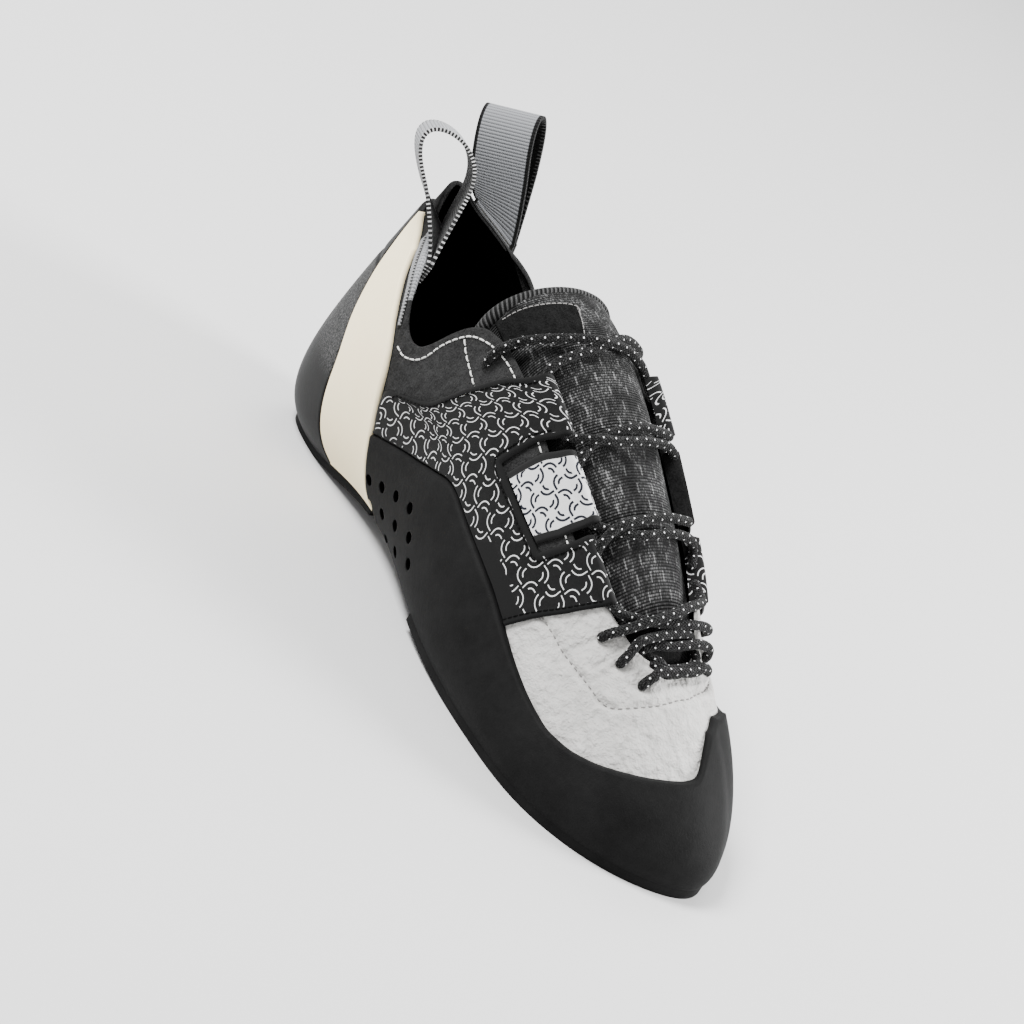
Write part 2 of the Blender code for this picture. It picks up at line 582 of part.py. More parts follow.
def make_pull_loops(parts):
    """Webbing loops that stand on the heel collar and lean back."""
    turns = [k * math.tau / 24 for k in range(25)]
    half = WEBBING_WIDTH / 2
    for name, middle, length, tilt, lean, outer_leg in PULL_LOOPS:
        rim = last(middle, collar_edge(middle))
        chord = last(middle + 0.2, 0.9) - last(middle - 0.2, 0.9)
        pace = chord.length / 0.4
        tangent = Vector((chord.x, chord.y, 0)).normalized()
        out = Vector((tangent.y, -tangent.x, 0))
        back = 1 if tangent.x < 0 else -1

        def centre(turn, share):
            s = middle + share * half / pace
            depth = max(-turn, turn - math.tau, 0)
            gap = outer_leg - (WEBBING + CLEARANCE) * min(1, max(0, turn / math.tau))
            near = raised(last, s, collar_edge(s) - depth * LOOP_SEAT / COLLAR_HEIGHT, gap)
            if depth > 0:
                return near
            height = length * (1 - math.cos(turn)) / 2
            gap += 0.77 * LOOP_OPENING * math.sin(turn) * math.sin(turn / 2) ** 2
            side = share * half * back
            flat = rim + out * (gap + lean * height / length)
            flat += tangent * back * (side * math.cos(tilt) + height * math.sin(tilt))
            flat.z += height * math.cos(tilt) - side * math.sin(tilt)
            blend = min(1, max(0, height / length - 0.08) / 0.4)
            return near.lerp(flat, blend * blend * (3 - 2 * blend))

        def skin(height):
            def face(turn, share):
                e = 0.01
                along = centre(turn + e, share) - centre(turn - e, share)
                wide = centre(turn, share + e) - centre(turn, share - e)
                return centre(turn, share) + along.cross(wide).normalized() * height
            return face

        columns = [-1, -0.5, *turns, math.tau + 0.5, math.tau + 1]
        mesh = shell_mesh("pull_loop_" + name, columns, [-1, -0.5, 0, 0.5, 1],
                          skin(-WEBBING / 2), skin(WEBBING / 2))
        add_object("pull_loop_" + name, mesh, (0.40, 0.41, 0.42), 0.7, parts)


def main():
    for thing in list(bpy.data.objects):
        bpy.data.objects.remove(thing)
    parts = bpy.data.collections.new("climbing_shoe")
    cutters = bpy.data.collections.new("cutters")
    bpy.context.scene.collection.children.link(parts)
    bpy.context.scene.collection.children.link(cutters)
    make_upper(parts, cutters)
    make_soles(parts)
    make_rand(parts, cutters)
    make_heel(parts)
    make_overlays(parts)
    make_middle_tabs(parts)
    make_tongue(parts)
    make_laces(parts, cutters)
    make_pull_loops(parts)


main()
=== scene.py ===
"""Looks of the lace-up climbing shoe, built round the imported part.

Every panel is a grid laid on the same form as the part, the last. A place on it is a station s,
from the heel back (0) along the outer side to the toe (11) and back along the inner side (22),
and a height t, which is 0 at the feather edge, 1 at the throat and 2 at the throat across the
instep. A lift is a distance over the form along its normal. Lengths are in metres.
"""

import math

import bpy
import numpy as np
from mathutils import Matrix, Vector, kdtree


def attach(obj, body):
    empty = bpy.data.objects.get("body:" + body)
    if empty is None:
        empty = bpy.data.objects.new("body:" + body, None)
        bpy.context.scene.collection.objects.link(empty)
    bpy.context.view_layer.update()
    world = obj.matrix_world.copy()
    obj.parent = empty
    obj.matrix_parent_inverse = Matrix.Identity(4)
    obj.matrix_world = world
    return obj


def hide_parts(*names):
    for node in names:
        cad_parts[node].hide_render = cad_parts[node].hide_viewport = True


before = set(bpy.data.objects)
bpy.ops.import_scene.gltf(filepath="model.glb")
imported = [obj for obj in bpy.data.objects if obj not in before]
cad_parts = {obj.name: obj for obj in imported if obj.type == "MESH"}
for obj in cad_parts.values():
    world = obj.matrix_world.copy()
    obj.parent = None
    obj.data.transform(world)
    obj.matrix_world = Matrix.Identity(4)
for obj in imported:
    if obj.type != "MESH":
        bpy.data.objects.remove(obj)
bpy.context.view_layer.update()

MM = 0.001
STATIONS = 22
TOE = 11

# The last: its length, the ball's width, the collar's height, and the feather edge over the floor
LENGTH, WIDTH, HEIGHT = 0.250, 0.080, 0.095
HEEL_SEAT = 0.112 * LENGTH
FEATHER = 4.2 * MM
INSTEP_FULLNESS = 0.42

# Thicknesses and widths. The rubber's foot is its lift at the very edge, before it rounds up
WALL = 1.6 * MM
COLLAR_WALL = 1.9 * MM
RUBBER = 2.3 * MM
RUBBER_FOOT = 0.4 * MM
RUBBER_ROUNDING = 1.1 * MM
TONGUE_FACE = -1.9 * MM
LACE = 3.2 * MM
WEB = 1.2 * MM
WEB_WIDTH = 20.5 * MM
RIM_TAPE_WIDTH = 6 * MM

# Distances under which vertices merge, on panels and on thin cords
MERGE = 0.01 * MM
FINE_MERGE = 0.002 * MM

# x, y, rise, low_out, low_up, high_out, high_down, top_x, top_y, top_z: shares of the length,
# the width and the collar's height
RIBS = np.array((
    (0.028, 0.000, 0.000, 0.210, 0.15, 0.110, 0.34, 0.042, 0.000, 1.010),
    (0.052, -0.150, 0.000, 0.200, 0.14, 0.060, 0.34, 0.082, -0.105, 0.970),
    (0.136, -0.210, 0.000, 0.175, 0.15, 0.090, 0.36, 0.152, -0.245, 0.925),
    (0.248, -0.240, 0.050, 0.150, 0.17, 0.060, 0.36, 0.248, -0.340, 0.885),
    (0.368, -0.300, 0.070, 0.125, 0.17, 0.075, 0.315, 0.352, -0.325, 0.885),
    (0.480, -0.390, 0.045, 0.100, 0.16, 0.110, 0.275, 0.460, -0.325, 0.810),
    (0.600, -0.450, 0.010, 0.100, 0.135, 0.140, 0.21, 0.580, -0.300, 0.675),
    (0.712, -0.470, 0.000, 0.100, 0.125, 0.150, 0.15, 0.688, -0.250, 0.550),
    (0.816, -0.450, 0.000, 0.075, 0.115, 0.150, 0.095, 0.760, -0.175, 0.475),
    (0.904, -0.325, 0.000, 0.075, 0.115, 0.160, 0.050, 0.792, -0.090, 0.450),
    (0.960, -0.140, 0.000, 0.075, 0.115, 0.190, 0.030, 0.804, -0.025, 0.440),
    (0.980, 0.040, 0.000, 0.075, 0.115, 0.210, 0.020, 0.808, 0.025, 0.440),
    (0.958, 0.170, 0.000, 0.065, 0.115, 0.160, 0.020, 0.804, 0.075, 0.445),
    (0.912, 0.290, 0.000, 0.070, 0.125, 0.150, 0.030, 0.792, 0.140, 0.460),
    (0.824, 0.380, 0.000, 0.075, 0.150, 0.125, 0.075, 0.760, 0.210, 0.495),
    (0.720, 0.425, 0.000, 0.105, 0.17, 0.140, 0.15, 0.688, 0.290, 0.580),
    (0.600, 0.375, 0.030, 0.100, 0.19, 0.140, 0.21, 0.580, 0.325, 0.715),
    (0.480, 0.290, 0.085, 0.110, 0.21, 0.110, 0.275, 0.460, 0.325, 0.865),
    (0.368, 0.240, 0.105, 0.140, 0.23, 0.075, 0.315, 0.352, 0.350, 0.925),
    (0.248, 0.225, 0.065, 0.150, 0.21, 0.060, 0.36, 0.248, 0.350, 0.925),
    (0.136, 0.210, 0.000, 0.175, 0.15, 0.090, 0.36, 0.152, 0.245, 0.945),
    (0.052, 0.150, 0.000, 0.200, 0.14, 0.060, 0.34, 0.082, 0.115, 1.015),
))
TABLE = RIBS * np.array((LENGTH, WIDTH, HEIGHT, WIDTH, HEIGHT, WIDTH, HEIGHT, LENGTH, WIDTH, HEIGHT))

# Edges of the pieces, as pairs of (station, height) or (height, station)
COLLAR_EDGE = ((0.0, 1.0), (0.25, 1.0), (0.5, 0.985), (0.75, 0.955), (1.0, 0.94), (1.75, 0.94),
               (2.0, 0.91), (2.4, 0.84), (2.75, 0.775), (3.05, 0.765), (3.25, 0.80), (3.5, 0.92),
               (3.75, 0.99), (4.25, 1.03), (5.0, 1.05), (5.75, 1.03), (6.5, 1.0), (11.0, 1.0))
BAND_REAR = ((0.0, 2.50), (0.08, 2.32), (0.18, 2.17), (0.26, 2.09), (0.39, 1.97), (0.47, 1.88),
             (0.53, 1.72), (0.60, 1.32), (0.66, 1.02), (0.72, 0.82), (0.79, 0.66), (0.86, 0.56),
             (0.93, 0.54))
BAND_FRONT = ((0.0, 3.60), (0.05, 3.42), (0.10, 3.34), (0.20, 3.28), (0.27, 3.24), (0.40, 3.16),
              (0.48, 3.08), (0.56, 3.00), (0.64, 2.90), (0.72, 2.72), (0.77, 2.50), (0.81, 2.32),
              (0.85, 2.02), (0.88, 1.72), (0.92, 1.45))
RAND_TOP = ((2.9, 0.37), (3.27, 0.39), (3.68, 0.43), (4.17, 0.48), (4.57, 0.54), (4.85, 0.59),
            (5.05, 0.605), (5.4, 0.60), (5.84, 0.595), (6.2, 0.585), (6.55, 0.555), (7.0, 0.50),
            (7.45, 0.45), (7.9, 0.41), (8.3, 0.41), (8.7, 0.43), (9.25, 0.47), (9.9, 0.51),
            (10.5, 0.54), (10.8, 0.565), (11.0, 0.66), (11.25, 0.73), (12.25, 0.75), (12.8, 0.72),
            (13.1, 0.70), (13.75, 0.60), (14.5, 0.50), (15.25, 0.48), (16.2, 0.55), (16.75, 0.60),
            (17.5, 0.55), (18.0, 0.50), (18.8, 0.42), (19.1, 0.38))
OVERLAY_REAR = ((0.36, 3.20), (0.44, 3.12), (0.50, 3.06), (0.575, 3.04), (0.60, 3.15), (0.615, 3.44),
                (0.67, 3.83), (0.76, 4.07), (0.88, 4.36), (1.05, 4.73), (1.20, 4.90))
OVERLAY_FRONT = ((0.54, 6.60), (0.67, 6.80), (0.82, 7.05), (0.94, 7.20), (1.09, 7.35), (1.20, 7.38))
WINDOW_FLOOR = 0.84
WINDOW_REAR = ((0.84, 5.30), (1.03, 5.42), (1.25, 5.62))
WINDOW_FRONT = ((0.84, 6.30), (0.96, 6.42), (1.25, 6.55))
FINGER_END = ((4.5, 1.20), (5.4, 1.21), (5.9, 1.18), (6.4, 1.13), (7.4, 1.105))
CUP_TOP = ((0, 0.90), (0.5, 0.89), (1.0, 0.87))
SIDES = (("lateral", lambda s: s), ("medial", lambda s: STATIONS - s))


# The form

def spline_bends(values):
    """Second derivatives of a closed cubic spline through the ribs."""
    count = len(values)
    system = 4 * np.eye(count) + np.roll(np.eye(count), 1, 0) + np.roll(np.eye(count), -1, 0)
    return np.linalg.solve(system, 6 * (np.roll(values, -1, 0) - 2 * values + np.roll(values, 1, 0)))


BENDS = spline_bends(TABLE)


def unit(v):
    return v / np.maximum(np.linalg.norm(v, axis=-1, keepdims=True), 1e-12)


def rib_row(s):
    """The table's row at a station, on the closed spline through the ribs."""
    near = np.floor(s)
    b = (s - near)[..., None]
    a = 1 - b
    i = near.astype(int) % STATIONS
    j = (i + 1) % STATIONS
    return a * TABLE[i] + b * TABLE[j] + ((a**3 - a) * BENDS[i] + (b**3 - b) * BENDS[j]) / 6


def outward(s):
    """The level direction out of the foot at a station."""
    step = rib_row(s + 0.001) - rib_row(s - 0.001)
    return unit(np.stack((step[..., 1], -step[..., 0], 0 * step[..., 0]), -1))


def rib_points(s):
    """The four points of a rib's curve, from the feather edge to the throat."""
    row, out, up = rib_row(s), outward(s), np.array((0, 0, 1.0))
    foot = np.stack((row[..., 0] - HEEL_SEAT, row[..., 1], FEATHER + row[..., 2]), -1)
    top = np.stack((row[..., 7] - HEEL_SEAT, row[..., 8], FEATHER + row[..., 9]), -1)
    low = foot + out * row[..., 3:4] + up * row[..., 4:5]
    high = top + out * row[..., 5:6] - up * row[..., 6:7]
    return foot, low, high, top


def bezier(points, b):
    b = b[..., None]
    a = 1 - b
    return a**3 * points[0] + 3 * a * a * b * points[1] + 3 * a * b * b * points[2] + b**3 * points[3]


def form(s, t):
    """The place on the last at a station and a height."""
    s, t = np.broadcast_arrays(np.asarray(s, float), np.asarray(t, float))
    over = t > 2
    s, t = np.where(over, STATIONS - s, s), np.where(over, 3 - t, t)
    near, far = rib_points(s), rib_points(STATIONS - s)
    side = bezier(near, np.minimum(t, 1))
    reach = INSTEP_FULLNESS * np.linalg.norm(far[3] - near[3], axis=-1, keepdims=True)
    rise = near[3] + unit(near[3] - near[2]) * reach
    fall = far[3] + unit(far[3] - far[2]) * reach
    arch = bezier((near[3], rise, fall, far[3]), np.clip(t - 1, 0, 1))
    return np.where((t <= 1)[..., None], side, arch)


def normal(s, t):
    e = 0.004
    return unit(np.cross(form(s + e, t) - form(s - e, t), form(s, t + e) - form(s, t - e)))


def lay(s, t, lift):
    """Places lifted off the last along its normal."""
    s, t, lift = np.broadcast_arrays(*(np.asarray(v, float) for v in (s, t, lift)))
    return form(s, t) + normal(s, t) * lift[..., None]


def rise_of(s, t, start, count=14):
    """Length along the rib from height start to t."""
    marks = [form(s, start + (t - start) * k / count) for k in range(count + 1)]
    return sum(np.linalg.norm(b - a, axis=-1) for a, b in zip(marks, marks[1:]))


def read(table, place, blur=0.0):
    """A table's value at a place, averaged over the blur each way."""
    xs, ys = zip(*table)
    offsets = (-1, -0.5, 0, 0.5, 1) if blur else (0,)
    return sum(np.interp(np.asarray(place, float) + blur * k, xs, ys) for k in offsets) / len(offsets)


def outer_station(s):
    s = np.abs(s)
    return np.where(s <= TOE, s, STATIONS - s)


def collar_edge(s):
    return read(COLLAR_EDGE, outer_station(s), 0.12)


def smooth(x):
    x = np.clip(x, 0, 1)
    return x * x * (3 - 2 * x)


def through(places, count=None):
    """A smooth curve through the places, as count points at even lengths or as it comes."""
    places = np.asarray(places, float)
    ends = np.vstack((2 * places[0] - places[1], places, 2 * places[-1] - places[-2]))
    where = np.linspace(0, len(places) - 1, 40 * len(places))
    k = np.minimum(where.astype(int), len(places) - 2)
    u = (where - k)[:, None]
    p, q, r, z = ends[k], ends[k + 1], ends[k + 2], ends[k + 3]
    path = (q + (r - p) * (u / 2) + (2 * p - 5 * q + 4 * r - z) * (u * u / 2)
            + (3 * q - p - 3 * r + z) * (u**3 / 2))
    return even(path, count) if count else path


def run_along(path):
    """Length along a path up to each of its points."""
    return np.concatenate(([0], np.cumsum(np.linalg.norm(np.diff(path, axis=0), axis=1))))


def even(path, count):
    """Points at even lengths on a path."""
    run = run_along(path)
    marks = np.linspace(0, run[-1], count)
    return np.stack([np.interp(marks, run, path[:, k]) for k in range(path.shape[1])], -1)


def column_lengths(places, a, b):
    """Length of each place along its own grid column, from the column's first place."""
    column = np.rint(a * 1000).astype(int)
    order = np.lexsort((b, column))
    step = np.concatenate(([0], np.linalg.norm(np.diff(places[order], axis=0), axis=1)))
    run = np.cumsum(step)
    first = np.concatenate(([True], np.diff(column[order]) != 0))
    start = np.maximum.accumulate(np.where(first, np.arange(len(order)), 0))
    lengths = np.empty(len(order))
    lengths[order] = run - run[start]
    firsts = np.empty(len(order), int)
    firsts[order] = order[start]
    return lengths, firsts


# Modelling helpers

def start_object(name):
    bpy.context.object.name = name
    bpy.context.object.data.name = name
    return bpy.context.object


def grid(name, across, along):
    """A new grid and the shares (a, b) of its vertices."""
    bpy.ops.object.select_all(action="DESELECT")
    bpy.ops.mesh.primitive_grid_add(x_subdivisions=across, y_subdivisions=along, size=2)
    thing = start_object(name)
    return thing, *shares(thing)


def shares(thing):
    co = read_vertices(thing)
    return (co[:, 0] + 1) / 2, (co[:, 1] + 1) / 2


def read_vertices(thing):
    co = np.empty(len(thing.data.vertices) * 3)
    thing.data.vertices.foreach_get("co", co)
    return co.reshape(-1, 3)


def set_vertices(thing, places):
    thing.data.vertices.foreach_set("co", np.ascontiguousarray(places, float).ravel())
    thing.data.update()


def set_uv(thing, uv):
    loops = np.empty(len(thing.data.loops), int)
    thing.data.loops.foreach_get("vertex_index", loops)
    thing.data.uv_layers[0].data.foreach_set("uv", np.ascontiguousarray(uv[loops], float).ravel())


def set_value(thing, name, values):
    layer = thing.data.attributes.new(name, "FLOAT", "POINT")
    layer.data.foreach_set("value", np.ascontiguousarray(values, np.float32))


def edit(thing, *steps):
    """Runs edit-mode operators on the whole mesh."""
    bpy.ops.object.select_all(action="DESELECT")
    thing.select_set(True)
    bpy.context.view_layer.objects.active = thing
    bpy.ops.object.mode_set(mode="EDIT")
    bpy.ops.mesh.select_all(action="SELECT")
    for step in steps:
        step()
    bpy.ops.object.mode_set(mode="OBJECT")


def modify(thing, kind, **settings):
    modifier = thing.modifiers.new(kind.title(), kind)
    for key, value in settings.items():
        setattr(modifier, key, value)
    bpy.ops.object.select_all(action="DESELECT")
    bpy.context.view_layer.objects.active = thing
    bpy.ops.object.modifier_apply(modifier=modifier.name)


def cut_faces(thing, where):
    """Deletes the faces whose middle (a, b) is in a gap, before the grid is laid."""
    for face in thing.data.polygons:
        face.select = bool(where((face.center.x + 1) / 2, (face.center.y + 1) / 2))
    for group in (thing.data.vertices, thing.data.edges):
        for item in group:
            item.select = False
    bpy.context.view_layer.objects.active = thing
    bpy.ops.object.mode_set(mode="EDIT")
    bpy.ops.mesh.select_mode(type="FACE")
    bpy.ops.mesh.delete(type="FACE")
    bpy.ops.mesh.select_mode(type="VERT")
    bpy.ops.object.mode_set(mode="OBJECT")


def border_distance(thing, places, chosen):
    """Distance of each vertex from the chosen vertices on the mesh's border."""
    mesh = thing.data
    edges = np.empty(len(mesh.loops), int)
    mesh.loops.foreach_get("edge_index", edges)
    ends = np.empty(len(mesh.edges) * 2, int)
    mesh.edges.foreach_get("vertices", ends)
    lone = np.bincount(edges, minlength=len(mesh.edges)) == 1
    border = np.zeros(len(mesh.vertices), bool)
    border[ends.reshape(-1, 2)[lone].ravel()] = True
    picked = np.nonzero(border & chosen)[0]
    tree = kdtree.KDTree(len(picked))
    for k, index in enumerate(picked):
        tree.insert(places[index], k)
    tree.balance()
    return np.array([tree.find(place)[2] for place in places])


def round_edge(distance, width):
    x = np.clip(distance / width, 0, 1)
    return np.sqrt(np.maximum(0, 1 - (1 - x) ** 2))


def dress(thing, *materials):
    for material in materials:
        thing.data.materials.append(material)


def finish_piece(thing, material=None, slot=None, replaced=()):
    if material:
        dress(thing, material)
    thing.data.polygons.foreach_set("use_smooth", [True] * len(thing.data.polygons))
    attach(thing, "root")
    if replaced:
        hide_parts(*replaced)


def face_out(thing, s, t):
    """Turns the faces so that they look away from the last."""
    faces = thing.data.polygons
    face = faces[len(faces) // 2]
    index = face.vertices[0]
    out = normal(s[index:index + 1], t[index:index + 1])[0]
    if Vector(out).dot(face.normal) < 0:
        edit(thing, bpy.ops.mesh.flip_normals)


def panel(name, cells, place, lift, inward=0.0, gap=None, uv=None, values=None):
    """A grid laid on the last. place(a, b) gives stations and heights, and lift(thing, a, b, s, t,
    flat) the lifts, where flat is the places on the bare form."""
    thing, a, b = grid(name, *cells)
    if gap:
        cut_faces(thing, gap)
        a, b = shares(thing)
    s, t = place(a, b)
    flat = form(s, t)
    set_vertices(thing, flat)
    laid = lay(s, t, lift(thing, a, b, s, t, flat))
    set_vertices(thing, laid)
    if uv:
        set_uv(thing, uv(laid, a, b, s, t))
    for key, value in (values or {}).items():
        set_value(thing, key, value(thing, a, b, s, t, flat))
    face_out(thing, s, t)
    if inward:
        modify(thing, "SOLIDIFY", thickness=inward, offset=-1)
    return thing


def tube(name, path, radius, around=12):
    """A cord along a path, whose ends close and round only where the given radii shrink to nothing. The
    radius is one number or one per point.
    """
    count = len(path)
    radius = np.broadcast_to(np.asarray(radius, float), count).copy()
    along = unit(np.gradient(path, axis=0))
    side = np.zeros_like(path)
    seed = np.cross(along[0], (0.3, 0.2, 1.0))
    for k in range(count):
        seed = seed - along[k] * np.dot(seed, along[k])
        seed = seed / np.linalg.norm(seed)
        side[k] = seed
    other = np.cross(along, side)
    thing, a, b = grid(name, around, count - 1)
    k = np.rint(b * (count - 1)).astype(int)
    angle = a * math.tau
    places = path[k] + radius[k, None] * (side[k] * np.cos(angle)[:, None]
                                          + other[k] * np.sin(angle)[:, None])
    set_vertices(thing, places)
    set_uv(thing, np.stack((a, run_along(path)[k]), -1))
    edit(thing, lambda: bpy.ops.mesh.remove_doubles(threshold=FINE_MERGE),
         lambda: bpy.ops.mesh.normals_make_consistent(inside=False))
    return thing


def round_ends(count, radius, taper):
    """Radii that close a cord with a rounded end over its last points."""
    k = np.arange(count)
    reach = np.minimum(k, count - 1 - k) / taper
    return radius * np.sqrt(np.clip(1 - (1 - np.clip(reach, 0, 1)) ** 2, 1e-6, 1))


STITCH_POINTS = 12


def stitch_path(places, lift, pitch, share, rise, dip):
    """A thread along (s, t) places that stands up for each stitch and dives between them."""
    rough = through(places)
    world = lay(rough[:, 0], rough[:, 1], 0.0)
    run = run_along(world)
    count = max(2, round(run[-1] / pitch))
    marks = np.linspace(0, run[-1], count * STITCH_POINTS + 1)
    s, t = np.interp(marks, run, rough[:, 0]), np.interp(marks, run, rough[:, 1])
    phase = (np.arange(len(marks)) / STITCH_POINTS) % 1
    up = np.sin(np.clip(phase / share, 0, 1) * math.pi)
    height = np.where(phase < share, rise * np.sqrt(up), -dip)
    base = lift(s, t) if callable(lift) else lift
    return lay(s, t, base + height)


def stitches(name, places, lift, material, pitch=2.6 * MM, share=0.66, width=0.6 * MM, slot="upper"):
    path = stitch_path(places, lift, pitch, share, 0.25 * width, 1.4 * width)
    finish_piece(tube(name, path, width / 2, around=6), material, slot)


# Node graphs and materials

class Graph:
    """Adds nodes to a tree; sockets and numbers go in alike."""

    def __init__(self, tree):
        self.tree = tree

    def node(self, kind, **settings):
        made = self.tree.nodes.new(kind)
        for key, value in settings.items():
            setattr(made, key, value)
        return made

    def put(self, value, socket):
        if isinstance(value, bpy.types.NodeSocket):
            self.tree.links.new(value, socket)
        else:
            socket.default_value = value

    def math(self, operation, *values):
        made = self.node("ShaderNodeMath", operation=operation)
        for value, socket in zip(values, made.inputs):
            self.put(value, socket)
        return made.outputs[0]

    def add(self, a, b):
        return self.math("ADD", a, b)

    def sub(self, a, b):
        return self.math("SUBTRACT", a, b)

    def mul(self, a, b):
        return self.math("MULTIPLY", a, b)

    def waves(self, value, pitch):
        """Round humps, one a pitch."""
        return self.math("ABSOLUTE", self.math("SINE", self.mul(value, math.pi / pitch)))

    def count(self, value, pitch):
        """How many whole pitches lie under a value."""
        return self.math("FLOOR", self.mul(value, 1 / pitch))

    def offset(self, value):
        """-0.5 to 0.5 from one whole number to the next."""
        return self.sub(self.math("FRACT", value), 0.5)

    def band(self, value, low, high):
        """0 below low and 1 above high, smooth between; falls where low is over high."""
        made = self.node("ShaderNodeMapRange", interpolation_type="SMOOTHSTEP")
        first, last = 0.0, 1.0
        if not isinstance(low, bpy.types.NodeSocket) and low > high:
            low, high, first, last = high, low, last, first
        for given, socket in zip((value, low, high, first, last), made.inputs):
            self.put(given, socket)
        return made.outputs[0]

    def noise(self, vector, scale, detail=2.0, rough=0.5):
        made = self.node("ShaderNodeTexNoise")
        self.put(vector, made.inputs["Vector"])
        made.inputs["Scale"].default_value = scale
        made.inputs["Detail"].default_value = detail
        made.inputs["Roughness"].default_value = rough
        return made.outputs["Fac"]

    def colours(self, factor, first, second):
        made = self.node("ShaderNodeMix", data_type="RGBA")
        self.put(factor, made.inputs[0])
        for value, socket in ((first, made.inputs[6]), (second, made.inputs[7])):
            self.put((*value, 1) if isinstance(value, tuple) else value, socket)
        return made.outputs[2]

    def split(self, vector):
        made = self.node("ShaderNodeSeparateXYZ")
        self.put(vector, made.inputs[0])
        return made.outputs[0], made.outputs[1], made.outputs[2]

    def join(self, x, y, z=0.0):
        made = self.node("ShaderNodeCombineXYZ")
        for value, socket in zip((x, y, z), made.inputs):
            self.put(value, socket)
        return made.outputs[0]


def group(name, inputs, outputs, build):
    """A node group built once. build(graph, *input sockets) returns the output sockets."""
    tree = bpy.data.node_groups.new(name, "ShaderNodeTree")
    kinds = {"v": "NodeSocketVector", "f": "NodeSocketFloat"}
    for label, kind in inputs:
        tree.interface.new_socket(label, in_out="INPUT", socket_type=kinds[kind])
    for label in outputs:
        tree.interface.new_socket(label, in_out="OUTPUT", socket_type=kinds["f"])
    graph = Graph(tree)
    entry, leave = graph.node("NodeGroupInput"), graph.node("NodeGroupOutput")
    made = build(graph, *entry.outputs[:len(inputs)])
    for value, socket in zip(made, leave.inputs):
        graph.put(value, socket)
    return tree


def nap(graph, where, scale):
    """Short suede fibres with clumps."""
    fine = graph.noise(where, 1600.0, 3.0, 0.7)
    clumps = graph.noise(where, 330.0, 3.0, 0.6)
    wide = graph.noise(where, 45.0, 2.0)
    height = graph.add(graph.mul(fine, 0.4), graph.mul(clumps, 0.8))
    shade = graph.add(graph.mul(fine, 1.1), graph.add(graph.mul(clumps, 0.6), graph.mul(wide, 0.4)))
    return graph.mul(height, scale), graph.sub(shade, 0.6)


def hide(graph, where, scale):
    """Soft leather with pebbles and wrinkles; painted highlights on the pebbles' tops, random wide patches.
    """
    fine = graph.noise(where, 1500.0, 2.0, 0.6)
    pebbles = graph.noise(where, 330.0, 2.0, 0.5)
    wrinkles = graph.noise(where, 130.0, 3.0, 0.6)
    wide = graph.noise(where, 40.0, 2.0)
    height = graph.add(graph.add(graph.mul(pebbles, 0.5), graph.mul(wrinkles, 0.8)), graph.mul(fine, 0.15))
    # Painted highlight: raised pebbles are coloured lighter. The wide patches are tone that differs at
    # random.
    shade = graph.add(graph.mul(pebbles, 0.6), graph.mul(wide, 0.6))
    return graph.mul(height, scale), graph.sub(shade, 0.1)


def grain(graph, where, scale):
    """Dull rubber with scuffs."""
    fine = graph.noise(where, 2600.0, 2.0, 0.6)
    patches = graph.noise(where, 70.0, 4.0, 0.6)
    scuffs = graph.noise(where, 420.0, 3.0, 0.7)
    height = graph.add(graph.mul(fine, 0.5), graph.mul(scuffs, 0.5))
    return graph.mul(height, scale), graph.add(graph.mul(patches, 0.7), graph.mul(scuffs, 0.3))


def strokes(graph, where, size, width):
    """Two nested hooks, turned a quarter from cell to cell."""
    u, v, _ = graph.split(where)
    x, y = graph.math("DIVIDE", u, size), graph.math("DIVIDE", v, size)
    column, row = graph.math("FLOOR", x), graph.math("FLOOR", y)
    px = graph.sub(graph.sub(x, column), 0.5)
    py = graph.sub(graph.sub(y, row), 0.5)
    odd_column = graph.math("FLOORED_MODULO", column, 2.0)
    odd_row = graph.math("FLOORED_MODULO", row, 2.0)
    turns = graph.add(odd_column, graph.mul(odd_row, graph.sub(3.0, graph.mul(odd_column, 2.0))))
    angle = graph.mul(turns, math.pi / 2)
    cos, sin = graph.math("COSINE", angle), graph.math("SINE", angle)
    qx = graph.sub(graph.mul(px, cos), graph.mul(py, sin))
    qy = graph.add(graph.mul(px, sin), graph.mul(py, cos))
    soft = graph.add(width, 0.02)

    def line(distance):
        return graph.sub(1.0, graph.band(graph.math("ABSOLUTE", distance), width, soft))

    def hook(middle, radius, reach_x, reach_y):
        mx = graph.math("MAXIMUM", graph.sub(middle, qx), 0.0)
        my = graph.math("MAXIMUM", graph.sub(middle, qy), 0.0)
        reach = graph.math("SQRT", graph.add(graph.mul(mx, mx), graph.mul(my, my)))
        ends = graph.mul(graph.band(qx, reach_x, reach_x - 0.02), graph.band(qy, reach_y, reach_y - 0.02))
        return graph.mul(line(graph.sub(reach, radius)), ends)

    return (graph.math("MAXIMUM", hook(0.16, 0.52, 0.44, 0.20), hook(0.26, 0.32, 0.20, 0.42)),)


KNIT_RIB, KNIT_LOOP, KNIT_SPECK = 0.85 * MM, 0.6 * MM, 0.3 * MM
DASH_APART, DASH_PITCH = 3.6 * MM, 9.8 * MM


